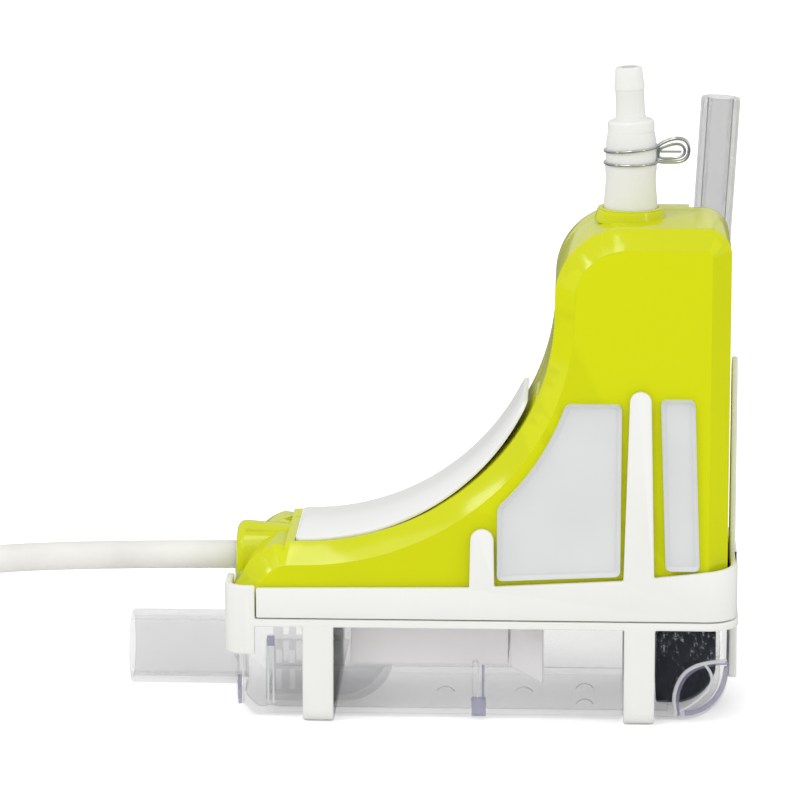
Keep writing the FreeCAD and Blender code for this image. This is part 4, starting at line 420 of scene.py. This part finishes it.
# shapes built up from a ring or a block
def spun(name, profile, around=96):
    # a closed outline of (radius, height) carried round the upright axis
    radius, height = profile[0]
    bpy.ops.mesh.primitive_circle_add(vertices=around, radius=radius * mm, location=(0, 0, height * mm))
    piece = bpy.context.object
    piece.name = name
    bpy.ops.object.transform_apply(location=True, rotation=True, scale=True)
    bpy.ops.object.mode_set(mode="EDIT")
    bpy.ops.mesh.select_all(action="SELECT")
    for nextRadius, nextHeight in profile[1:] + profile[:1]:
        share = nextRadius / radius
        bpy.ops.mesh.extrude_edges_move(TRANSFORM_OT_translate={"value": (0, 0, (nextHeight - height) * mm)})
        bpy.ops.transform.resize(value=(share, share, 1), center_override=(0, 0, nextHeight * mm))
        radius, height = nextRadius, nextHeight
    bpy.ops.mesh.select_all(action="SELECT")
    bpy.ops.mesh.remove_doubles(threshold=0.000001)
    bpy.ops.mesh.normals_make_consistent(inside=False)
    bpy.ops.object.mode_set(mode="OBJECT")
    bpy.ops.object.shade_smooth_by_angle(angle=math.radians(28))
    return piece


def slab(name, low, high, edge=0.0, segments=2):
    # a block between two corners, in millimetres, with its edges rounded
    middle = [(a + b) / 2 * mm for a, b in zip(low, high)]
    bpy.ops.mesh.primitive_cube_add(size=1, location=middle, scale=[(b - a) * mm for a, b in zip(low, high)])
    piece = bpy.context.object
    piece.name = name
    bpy.ops.object.transform_apply(location=True, rotation=True, scale=True)
    if edge:
        softEdges(piece, edge * mm, segments)
    return piece


def wire(name, points, radius, closed=True):
    bpy.ops.curve.primitive_nurbs_path_add()
    piece = bpy.context.object
    piece.name = name
    piece.location = (0, 0, 0)
    spline = piece.data.splines[0]
    spline.points.add(len(points) - len(spline.points))
    for point, spot in zip(spline.points, points):
        point.co = (*[v * mm for v in spot], 1)
    spline.order_u, spline.use_cyclic_u, spline.use_endpoint_u = 4, closed, not closed
    spline.resolution_u = 8
    piece.data.bevel_depth, piece.data.bevel_resolution, piece.data.use_fill_caps = radius * mm, 4, not closed
    bpy.ops.object.convert(target="MESH")
    bpy.ops.object.shade_smooth_by_angle(angle=math.radians(40))
    return piece


def joined(name, pieces):
    activate(pieces[0])
    for piece in pieces:
        piece.select_set(True)
    bpy.ops.object.join()
    bpy.context.object.name = name
    return bpy.context.object


def copied(piece, shift):
    activate(piece)
    bpy.ops.object.duplicate()
    twin = bpy.context.object
    twin.location = [v * mm for v in shift]
    bpy.ops.object.transform_apply(location=True, rotation=True, scale=True)
    return twin


def turned(piece, axis, degrees, centre=(0, 0, 0)):
    # degrees as the operator counts them, against the right-hand rule
    activate(piece)
    centre = [v * mm for v in centre]
    bpy.ops.transform.rotate(value=math.radians(degrees), orient_axis=axis, center_override=centre)
    bpy.ops.object.transform_apply(location=True, rotation=True, scale=True)
    return piece


def hollowed(piece, cutter):
    # takes the cutter's shape out of the piece
    activate(piece)
    cutting = piece.modifiers.new("hollow", "BOOLEAN")
    cutting.operation, cutting.solver, cutting.object, cutting.use_self = "DIFFERENCE", "EXACT", cutter, True
    bpy.ops.object.modifier_apply(modifier=cutting.name)
    bpy.data.objects.remove(cutter, do_unlink=True)
    return piece


def repaint(piece, material, test):
    # gives the faces whose middle and direction pass the test another material
    piece.data.materials.append(material)
    for face in piece.data.polygons:
        if test(face.center / mm, face.normal):
            face.material_index = len(piece.data.materials) - 1


# housing: both halves, with the fold lines of the side bevel rounded and a painted highlight along their edge
housing = {
    "halves": (("housingShell", "housing_shell"), ("housingCover", "housing_cover")),
    "levels": (20.5, 16.1), "edge": 0.8 * mm,              # from the middle to the bevel's inner and outer fold
    "bossEnd": -34.2, "bossTop": 40.5, "bossSink": (3 * mm, 0, -1 * mm),
    "rim": 19.9, "rimFacing": (0.92, 0.98), "heel": 56,
}


def onRim(start, end):
    return any(abs(abs(start.y) - level) < 0.02 and abs(abs(end.y) - level) < 0.02
               for level in housing["levels"])


def catchesLight(at, facing):
    low, high = housing["rimFacing"]
    return abs(at.y) > housing["rim"] and low < abs(facing.y) < high and at.x < housing["heel"]


def atBossEnd(at):
    return abs(at.x - housing["bossEnd"]) < 0.05 and at.z > housing["bossTop"]


for name, node in housing["halves"]:
    piece = moveCorners(cadCopy(name, node), atBossEnd, housing["bossSink"])
    roundEdges(piece, onRim, housing["edge"], 4)
    bpy.ops.object.shade_smooth_by_angle(angle=math.radians(30))
    settle(piece, "pump", "lime_plastic", limePlastic, replaced=(node,))
    # painted highlight: the rim faces that pass catchesLight get the lighter lime
    repaint(piece, limeRimHighlight, catchesLight)
print("housing done")

# front panel, shorter than its solid at the top and with its upper corners rounded
panel = {"top": 73.5, "half": 15.0, "corner": 2.5, "reach": 60, "wide": 20, "lift": 0.2 * mm,
         "edge": 0.15 * mm}


def cornerCutter(side):
    # what lies outside a quarter round at one upper corner
    top, corner, reach = panel["top"], panel["corner"], panel["reach"]
    inner, outer = side * (panel["half"] - corner), side * (panel["half"] + 1)
    low, high = sorted((inner, outer))
    block = slab("corner", (0, low, top - corner), (reach, high, top + corner))
    bpy.ops.mesh.primitive_cylinder_add(vertices=64, radius=corner * mm, depth=2.2 * reach * mm,
                                        location=(0, inner * mm, (top - corner) * mm),
                                        rotation=(0, math.pi / 2, 0))
    return hollowed(block, bpy.context.object)


def addPanel():
    top, reach, wide = panel["top"], panel["reach"], panel["wide"]
    piece = moveCorners(cadCopy("frontPanel", "front_panel"), lambda at: True, (0, 0, panel["lift"]))
    hollowed(piece, slab("above", (0, -wide, top), (reach, wide, top + wide)))
    for side in (-1, 1):
        hollowed(piece, cornerCutter(side))
    softEdges(piece, panel["edge"], 2, 50)
    # the front panel in the lighter, painted-light copy of the white plastic
    settle(piece, "pump", "white_plastic", litPanelPlastic, replaced=("front_panel",))


addPanel()

# labels, with their corners rounded
labels = {
    "nodes": (("ratingLabel", "rating_label"), ("serialLabel", "serial_label")),
    "corner": 1.3 * mm, "lift": 1.3 * mm, "heel": 42, "heelSide": 42.9, "foot": 34,
}


def atCorner(start, end):
    # a label's corners, but for the two at the ends of its curved side
    return abs(start.y - end.y) > 0.1 and (start.x > labels["heel"] or start.z < labels["foot"])


def atHeelFoot(at):
    return at.x > labels["heelSide"] and at.z < labels["foot"]


for name, node in labels["nodes"]:
    piece = cadCopy(name, node)
    if name == "ratingLabel":
        moveCorners(piece, atHeelFoot, (0, 0, labels["lift"]))
    roundEdges(piece, atCorner, labels["corner"], 5, 24, clamp=False)
    bpy.ops.object.shade_flat()
    settle(piece, "pump", "label", labelPaper, replaced=(node,))

# screws with a cross recess
crossRecess = {"reach": 1.7, "width": 0.7, "depth": 1.0, "edge": 0.12 * mm}
screws = {
    "cover": [(24, 20.5, 52), (35.2, 20.5, 101), (54.2, 20.5, 106)],
    "base": [(x, y, 24.6) for x in (-36.5, 27) for y in (-15, 15)],
}


def crossCutter(spot, axis):
    # two crossed bars round a spot, along the screw's own axis
    reach, width, depth = crossRecess["reach"], crossRecess["width"] / 2, crossRecess["depth"]
    bars = []
    for across, along in ((reach, width), (width, reach)):
        half = (across, depth, along) if axis == "Y" else (across, along, depth)
        bars.append(slab("bar", [c - h for c, h in zip(spot, half)], [c + h for c, h in zip(spot, half)]))
    return joined("crossCutter", bars)


def screwSet(name, node, spots, axis):
    piece = cadCopy(name, node)
    for spot in spots:
        hollowed(piece, crossCutter(spot, axis))
    softEdges(piece, crossRecess["edge"], 2, 50)
    settle(piece, "pump", "steel", screwSteel, replaced=(node,))


screwSet("coverScrews", "cover_screws", screws["cover"], "Y")
screwSet("baseScrews", "base_screws", screws["base"], "Z")
softened("pumpBase", "pump_base", "pump", "white_plastic", basePlastic, 0.4 * mm)
print("labels and screws done")

softened("wallBracket", "wall_bracket", "bracket", "white_plastic", whitePlastic, 0.35 * mm)
softened("cradleFrame", "cradle", "tray", "white_plastic", whitePlastic, 0.4 * mm, 3)

# reservoir: painted highlights and painted violet shade as lines where light runs along its ribs, pin marks on
# the near wall
tank = {
    "edge": 0.5 * mm, "tubeEnd": -45.2, "face": -18.5, "lineDepth": -17.6,
    "bright": (((-37.3, -18.5, 3.4), (-36.85, -18.1, 17)), ((-36.1, -18.5, 3.4), (-35.65, -18.1, 17)),
               ((-42.9, -18.4, 3.4), (-42.6, -18.1, 16)), ((10.7, -18.4, 5), (10.9, -18.2, 13.4))),
    "violet": (((-44, -18.4, 3.2), (-43.2, -17.6, 10)), ((9.4, -18.5, 0.9), (12.6, -16.5, 5)),
               ((11.7, -18.4, 5), (12.3, -18.1, 13)), ((-37.3, -18.5, 17), (-35.65, -18.1, 19.4))),
    "swan": ((56.0, 1.8), (55.3, 4.5), (55.8, 8.0), (57.4, 11.2), (60.3, 13.4), (64, 14.2), (67.2, 14.3)),
    "swanShade": (0.7, 0.6, -0.5),                         # how far its shade lies from the swan line
    "beak": ((62.5, 13.4), (64.2, 11.5), (64.3, 9.0), (62.5, 6.2), (59.5, 3.8), (57, 2.4)),
    "heel": ((58.0, 1.9), (61.0, 2.3), (63.8, 4.0), (66, 6.8), (67.1, 10), (67.4, 13)),
    "pinRing": [(2.25, -0.05), (2.45, -0.05), (2.45, 0.1), (2.25, 0.1)], "pinCut": 1.2,
    "pinSpots": [(3.5, 5.6), (21.4, 5.6), (35.2, 6.6), (35.2, 2.9)],
}


def tankLine(name, line, radius, shift=(0, 0, 0)):
    aside, deeper, up = shift
    points = [(x + aside, tank["lineDepth"] + deeper, z + up) for x, z in tank[line]]
    return wire(name, points, radius, False)


def addTank():
    piece = softEdges(cadCopy("clearTank", "reservoir"), tank["edge"], 3)
    settle(piece, "tray", "clear_plastic", clearTank, replaced=("reservoir",))
    repaint(piece, clearTube, lambda at, facing: at.x < tank["tubeEnd"])
    # painted highlights: near-white strips and lines along the ribs
    bright = [slab("edge", low, high, 0.1) for low, high in tank["bright"]]
    bright += [tankLine("swanLine", "swan", 0.45), tankLine("beakLine", "beak", 0.35)]
    settle(joined("brightHighlights", bright), "tray", "clear_plastic", brightHighlight)
    # painted shade: violet strips and lines beside the ribs
    violet = [slab("edge", low, high, 0.1) for low, high in tank["violet"]]
    violet += [tankLine("swanShade", "swan", 0.45, tank["swanShade"]), tankLine("heelLine", "heel", 0.6)]
    settle(joined("violetShades", violet), "tray", "clear_plastic", violetShade)
    ring = turned(spun("pinMarks", tank["pinRing"], 48), "X", 90)
    ring = hollowed(ring, slab("lower", (-3, -3, -3), (3, 3, tank["pinCut"])))
    rings = [copied(ring, (x, tank["face"], z)) for x, z in tank["pinSpots"]]
    bpy.data.objects.remove(ring, do_unlink=True)
    settle(joined("pinMarks", rings), "tray", "clear_plastic", pinMark)


addTank()
softened("filterBasket", "filter_basket", "tray", "clear_plastic", basketPlastic, 0.2 * mm)
softened("levelFloat", "level_float", "float", "float_foam", floatFoam, 0.7 * mm, 3)
softened("floatMagnet", "float_magnet", "float", "magnet", magnetSteel, 0.25 * mm)
print("bracket, cradle and reservoir done")

# outlet: waisted rubber sleeve, barbed connector, spring clip of two wires
outlet = {
    "x": 44.6, "lean": 3.0, "pivot": (44.6, 0, 133.5),
    "outletSleeve": [(3.1, 93), (5.4, 93), (5.4, 108.8), (6.15, 111), (6.15, 116.2), (6.05, 117.5), (5.82, 120),
                     (5.7, 122), (5.72, 123.5), (5.86, 125), (5.8, 125.7), (5.62, 126.2), (5.72, 127.2),
                     (5.8, 127.8), (5.7, 128.7), (5.62, 129.5), (5.7, 130.4), (5.6, 131.6), (5.42, 132.6),
                     (5.3, 133.2), (5.15, 133.5), (3.1, 133.5)],
    "collarFlare": [(7.2, 113), (8.15, 113), (8.15, 113.5), (7.95, 114.1), (7.7, 114.9), (7.5, 115.7),
                    (7.2, 115.75)],
    "outletConnector": [(1.9, 128.5), (2.75, 128.5), (2.75, 133.1), (5.0, 133.1), (5.26, 133.5), (5.3, 135.1),
                        (5.22, 135.6), (4.95, 135.9), (4.1, 136.05), (3.6, 136.3), (3.32, 137), (3.25, 138),
                        (3.25, 142.7), (3.3, 142.95), (3.4, 143.1), (3.4, 144.3), (3.3, 144.6), (3.02, 147.7),
                        (2.9, 148), (1.9, 148)],
    "ring": 6.0, "wireRadius": 0.34,
    "rings": (("clipLow", 126.3, 0.1), ("clipHigh", 129.5, 0.55)),                 # name, height, tilt
    "ear": [(50.3, 129.9), (51.8, 130.8), (53.8, 131.7), (55.9, 131.8), (57.4, 131.0), (57.8, 129.2),
            (57.4, 127.4), (56.1, 126.4), (54.0, 126.3), (51.8, 126.3), (50.3, 126.4)],
    "earLevels": (-0.7, 0.7),
    "tongue": [(50.6, 129.1), (52.4, 129.9), (54.6, 130.6), (56.2, 130.3), (56.9, 129.1), (56.5, 127.8),
               (55.1, 127.2), (52.8, 127.1), (50.8, 127.1)],
    "bar": [(51, 128.7), (52, 128.7), (53, 128.7), (54, 128.7), (55, 128.7), (56, 128.7)], "barShare": 0.8,
}


def clipRing(height, tilt):
    # a wire round the sleeve, higher towards its ear by the tilt
    turns = [math.radians(15 * n) for n in range(24)]
    return [(outlet["x"] + outlet["ring"] * math.cos(turn), outlet["ring"] * math.sin(turn),
             height + tilt * math.cos(turn)) for turn in turns]


def clipWire(name, line, level, share=1.0, closed=True):
    points = [(x, level, z) for x, z in outlet[line]]
    return wire(name, points, outlet["wireRadius"] * share, closed)


def outletPiece(name):
    piece = spun(name, outlet[name])
    piece.location.x = outlet["x"] * mm
    bpy.ops.object.transform_apply(location=True, rotation=True, scale=True)
    return piece


def addOutlet():
    settle(outletPiece("outletSleeve"), "pump", "white_rubber", whiteRubber, replaced=("outlet_sleeve",))
    settle(outletPiece("collarFlare"), "pump", "lime_plastic", limePlastic)
    piece = turned(outletPiece("outletConnector"), "Y", outlet["lean"], outlet["pivot"])
    settle(piece, "pump", "white_plastic", whitePlastic, replaced=("outlet_connector",))

    wires = [wire(name, clipRing(height, tilt), outlet["wireRadius"]) for name, height, tilt in outlet["rings"]]
    wires += [clipWire(f"clipEar{level}", "ear", level) for level in outlet["earLevels"]]
    wires.append(clipWire("clipTongue", "tongue", 0))
    wires.append(clipWire("clipBar", "bar", 0, outlet["barShare"], False))
    settle(joined("hoseClip", wires), "pump", "clip_wire", wireSteel, replaced=("hose_clip",))


addOutlet()

# breather hose, leaning over to the heel
hose = {
    "breatherHose": [(3.0, 0), (4.5, 0), (4.5, 41.2), (4.4, 41.4), (3.1, 41.4), (3.0, 41.3)],
    "hoseBoreShade": [(2.92, 0.4), (2.98, 0.4), (2.98, 41), (2.92, 41)],
    "foot": (62.95, 17, 97.3), "lean": -3.1, "around": 128,
}


def hosePiece(name):
    piece = turned(spun(name, hose[name], hose["around"]), "Y", hose["lean"])
    piece.location = [v * mm for v in hose["foot"]]
    return piece


def addHose():
    settle(hosePiece("breatherHose"), "pump", "clear_hose", clearHose, replaced=("breather_hose",))
    # painted shade: a thin skin inside the bore that shows dark where seen edge on
    settle(hosePiece("hoseBoreShade"), "pump", "clear_hose", boreShade)


addHose()
print("outlet and hose done")

# motor and pump head
works = {
    "motor_mount": ("black_rubber", blackRubber, 0.4), "motor_can": ("motor_steel", motorSteel, 0.5),
    "motor_end_cap": ("black_plastic", blackPlastic, 0.4), "motor_magnets": ("magnet", magnetSteel, 0.3),
    "motor_shaft": ("steel", screwSteel, 0.15), "rotor_core": ("winding", windingWire, 0.5),
    "crank": ("white_plastic", whitePlastic, 0.3), "wobble_plate": ("white_plastic", whitePlastic, 0.3),
    "pump_cage": ("black_plastic", blackPlastic, 0.4), "diaphragm": ("black_rubber", blackRubber, 0.3),
    "pump_chamber": ("black_plastic", blackPlastic, 0.4), "valve_disc": ("black_rubber", blackRubber, 0.15),
    "head_cover": ("black_plastic", blackPlastic, 0.4), "head_screws": ("steel", screwSteel, 0.15),
    "head_buffers": ("black_rubber", blackRubber, 0.5), "suction_tube": ("clear_hose", clearHose, 0.1),
    "sensor_board": ("board", boardResin, 0.12), "circuit_board": ("board", boardResin, 0.12),
    "cable_gland": ("black_rubber", blackRubber, 0.3),
}
moving = {"motor_shaft": "rotor", "rotor_core": "rotor", "crank": "rotor", "wobble_plate": "wobble"}


def camel(node):
    head, *rest = node.split("_")
    return head + "".join(word.capitalize() for word in rest)


for node, (slot, material, edge) in works.items():
    softened(camel(node), node, moving.get(node, "pump"), slot, material, edge * mm)
print("motor and pump head done")

# parts on the circuit board
board = {
    "block": ((-29.5, -7, 30.2), (-23.5, 7, 36.5)), "terminals": (-5.1, -1.7, 1.7, 5.1), "terminalX": -26.5,
    "well": [(0.05, 35.1), (1.15, 35.1), (1.15, 37), (0.05, 37)],
    "mouth": ((-30, -1.1, 31.2), (-28, 1.1, 33.6)),
    "clampScrew": [(0.05, 0), (0.95, 0), (0.95, 0.5), (0.8, 0.7), (0.05, 0.7)], "clampLevel": 35.1,
    "clampSlot": ((-2, -0.15, 0.4), (2, 0.15, 1)),
    "core": (((-2, -4, 31.4), (0.6, 4, 43.5)), ((10.4, -4, 31.4), (13, 4, 43.5)),
             ((-2, -4, 41), (13, 4, 43.5)), ((-2, -4, 31.4), (13, 4, 33.4))),
    "winding": ((1, -7.4, 33.8), (10, 7.4, 41)),
    "flanges": (((-1, -8, 30.2), (12, 8, 31.4), 0.3), ((0.6, -8, 31.4), (10.4, -7.2, 41.6), 0.2),
                ((0.6, 7.2, 31.4), (10.4, 8, 41.6), 0.2)),
    "relay": ((-21, 3, 30.2), (-7, 13, 38)), "relayFace": ((-19.5, 4.4, 37.8), (-8.5, 11.6, 39)),
    "can": [(0.05, 0), (3.2, 0), (3.5, 0.3), (3.5, 1.0), (3.3, 1.5), (3.3, 1.8), (3.5, 2.2), (3.5, 11.5),
            (3.3, 11.95), (2.9, 12), (2.8, 11.8), (0.05, 11.8)],
    "canSpots": ((-21, -11.5, 33.7), (-21, -3.8, 33.7)), "canEnd": -9.3,
    "resistor": [(0.05, 0), (0.3, 0), (0.3, 1.2), (0.9, 1.4), (1.1, 1.8), (1.1, 2.3), (0.95, 2.6), (0.95, 4.4),
                 (1.1, 4.7), (1.1, 5.2), (0.9, 5.6), (0.3, 5.8), (0.3, 7), (0.05, 7)],
    "resistorSpot": (-5.5, 1.8, 31.4),
}


def addTerminals():
    block = slab("terminalBlock", *board["block"], 0.3)
    for y in board["terminals"]:
        well = spun("well", board["well"], 32)
        well.location = (board["terminalX"] * mm, y * mm, 0)
        hollowed(block, well)
        hollowed(block, slab("mouth", *[(x, y + aside, z) for x, aside, z in board["mouth"]]))
    settle(block, "pump", "terminal", terminalPlastic, replaced=("terminal_block",))
    clamp = hollowed(spun("clamp", board["clampScrew"], 32), slab("slot", *board["clampSlot"]))
    clamps = [copied(clamp, (board["terminalX"], y, board["clampLevel"])) for y in board["terminals"]]
    bpy.data.objects.remove(clamp, do_unlink=True)
    settle(joined("terminalScrews", clamps), "pump", "steel", screwSteel)


def addTransformer():
    core = joined("transformerCore", [slab("limb", low, high, 0.2) for low, high in board["core"]])
    settle(core, "pump", "magnet", lamination, replaced=("transformer",))
    winding = slab("transformerWinding", *board["winding"], 2.2, 6)
    settle(winding, "pump", "winding", windingWire)
    flanges = [slab("flange", low, high, edge) for low, high, edge in board["flanges"]]
    settle(joined("transformerBobbin", flanges), "pump", "black_plastic", blackPlastic)


def addSmallParts():
    relay = hollowed(slab("alarmRelay", *board["relay"], 0.6, 3), slab("face", *board["relayFace"]))
    settle(relay, "pump", "relay", relayPlastic, replaced=("alarm_relay",))
    can = turned(spun("can", board["can"], 64), "Y", -90)
    cans = [copied(can, spot) for spot in board["canSpots"]]
    bpy.data.objects.remove(can, do_unlink=True)
    cans = settle(joined("capacitors", cans), "pump", "capacitor_can", canSleeve, replaced=("capacitors",))
    repaint(cans, motorSteel, lambda at, facing: at.x > board["canEnd"])
    resistor = turned(spun("resistor", board["resistor"], 32), "X", 90)
    resistor.location = [v * mm for v in board["resistorSpot"]]
    settle(resistor, "pump", "board", resistorBody)


addTerminals()
addTransformer()
addSmallParts()
print("board parts done")

# ends of the lead: coloured cores with bared tips outside and inside, ties with their heads
cores = {
    "edge": 0.1 * mm, "bareFrom": 3, "tailBareFrom": -31,    # degrees round the toe bend; place along the board
    "colours": {(False, True): coreBlue, (True, False): coreBlack, (False, False): coreGreen},
}
ties = {
    "sides": (-13.5, 34), "edge": 0.2 * mm,
    "head": ((-186.0, 0, 19.4), (-180.5, 4.6, 23)), "slot": ((-184.9, -1, 21.2), (-181.6, 6, 22.5)),
    "tail": ((-184.8, -6, 21.3), (-181.7, 5, 22.3)),
}


def coreSet(name, node, outside, above, bare):
    # brown as they come, and the other three by their side and height in the bundle
    piece = softEdges(cadCopy(name, node), cores["edge"])
    settle(piece, "pump", "core_copper", coreBrown, replaced=(node,))
    for place, material in cores["colours"].items():
        repaint(piece, material, lambda at, facing: (outside(at), above(at)) == place)
    repaint(piece, copper, lambda at, facing: bare(at))
    return piece


def addCores():
    toe, middle, bend = lead["toe"], lead["middle"], lead["outer"] - lead["pitch"]
    level = lead["exit"][2] / mm
    piece = coreSet("cableCores", "cable_cores", lambda at: math.hypot(at.x - toe, at.y - middle) > bend,
                    lambda at: at.z > lead["top"],
                    lambda at: math.degrees(math.atan2(at.y - middle, toe - at.x)) > cores["bareFrom"])
    coreSet("leadTails", "lead_tails", lambda at: at.y > 0, lambda at: at.z > level,
            lambda at: at.x > cores["tailBareFrom"])
    return piece


def tieBlock(name, side, edge=0.0, segments=2):
    low, high = [(x, y + side, z) for x, y, z in ties[name]]
    return slab(name, low, high, edge, segments)


def addTies():
    blocks = [softEdges(cadCopy("leadTies", "coil_tie"), ties["edge"])]
    for side in ties["sides"]:
        blocks.append(hollowed(tieBlock("head", side, 0.5, 3), tieBlock("slot", side)))
        blocks.append(tieBlock("tail", side, 0.2))
    return settle(joined("leadTies", blocks), "pump", "tie", tieNylon, replaced=("coil_tie",))


addLead([addCores(), addTies()])
print("lead ends done")


# stage
stage = {
    "floor": 14.0, "level": -0.05 * mm, "floorTone": (255, 255, 255), "mirrorTone": (120, 120, 120),
    "glow": 0.36, "sky": 0.80, "mirrorSky": 0.6,
    # turn, rise, power, spread
    "suns": {"keySun": (-35, 50, 0.42, 40), "fillSun": (40, 25, 0.10, 60)},
    # place, width, height, power; and the spot they face
    "boxes": {"topBox": ((-0.22, -0.45, 1.45), 0.24, 0.4, 1.1), "toeBox": ((-1.3, -0.45, 1.1), 0.22, 0.3, 1.2),
              "heelBox": ((1.35, -0.9, 0.75), 0.25, 0.6, 1.2)},
    "aim": (0.01, 0, 0.06),
}


def addStage():
    bpy.ops.mesh.primitive_circle_add(vertices=96, radius=stage["floor"], fill_type="NGON",
                                      location=(0, 0, stage["level"]))
    floor = bpy.context.object
    floor.name = "studioFloor"
    material, shade, place = newMaterial("studioPaper")
    drift = shade.noise(place, 3.0, 2.0)
    base = drift.mixed(tone(*stage["floorTone"]), tone(*[c - 1 for c in stage["floorTone"]]))
    base = shade.node("ShaderNodeLightPath", out=3).mixed(base, tone(*stage["mirrorTone"]))
    seen = shade.node("ShaderNodeLightPath", out=0) + shade.node("ShaderNodeLightPath", out=6)
    glow = (seen > 0.5).mixed((0, 0, 0, 1), (stage["glow"], stage["glow"], stage["glow"], 1))
    closeMaterial(material, shade, {"Base Color": base, "Roughness": 0.9, "Specular IOR Level": 0.1,
                                    "Emission Color": glow, "Emission Strength": 1.0})
    floor.data.materials.append(material)

    world = bpy.data.worlds.new("studioSky")
    bpy.context.scene.world = world
    world.use_nodes = True
    world.node_tree.nodes.clear()
    sky = Shade(world.node_tree)
    seen = sky.node("ShaderNodeLightPath", out=0) + sky.node("ShaderNodeLightPath", out=6)
    mirrored = sky.node("ShaderNodeLightPath", out=3)
    strength = stage["sky"] + (seen > 0.5) * (1 - stage["sky"]) - mirrored * (stage["sky"] - stage["mirrorSky"])
    light = sky.node("ShaderNodeBackground", {"Color": (1, 1, 1, 1), "Strength": strength})
    sky.node("ShaderNodeOutputWorld", {"Surface": light})

    for name, (turn, rise, power, spread) in stage["suns"].items():
        turn, rise = math.radians(turn), math.radians(rise)
        back = Vector((math.sin(turn) * math.cos(rise), -math.cos(turn) * math.cos(rise), math.sin(rise)))
        lamp = addLamp(name, "SUN", back, power, back)
        lamp.angle = math.radians(spread)
    for name, (spot, width, height, power) in stage["boxes"].items():
        lamp = addLamp(name, "AREA", spot, power, Vector(spot) - Vector(stage["aim"]))
        lamp.shape, lamp.size, lamp.size_y = "RECTANGLE", width, height


def addLamp(name, kind, spot, power, back):
    bpy.ops.object.light_add(type=kind, location=spot, rotation=(-back).to_track_quat("-Z", "Y").to_euler())
    bpy.context.object.name = name
    bpy.context.object.data.energy = power
    return bpy.context.object.data


addStage()
bpy.context.scene.view_settings.view_transform = "Standard"
print("stage set")
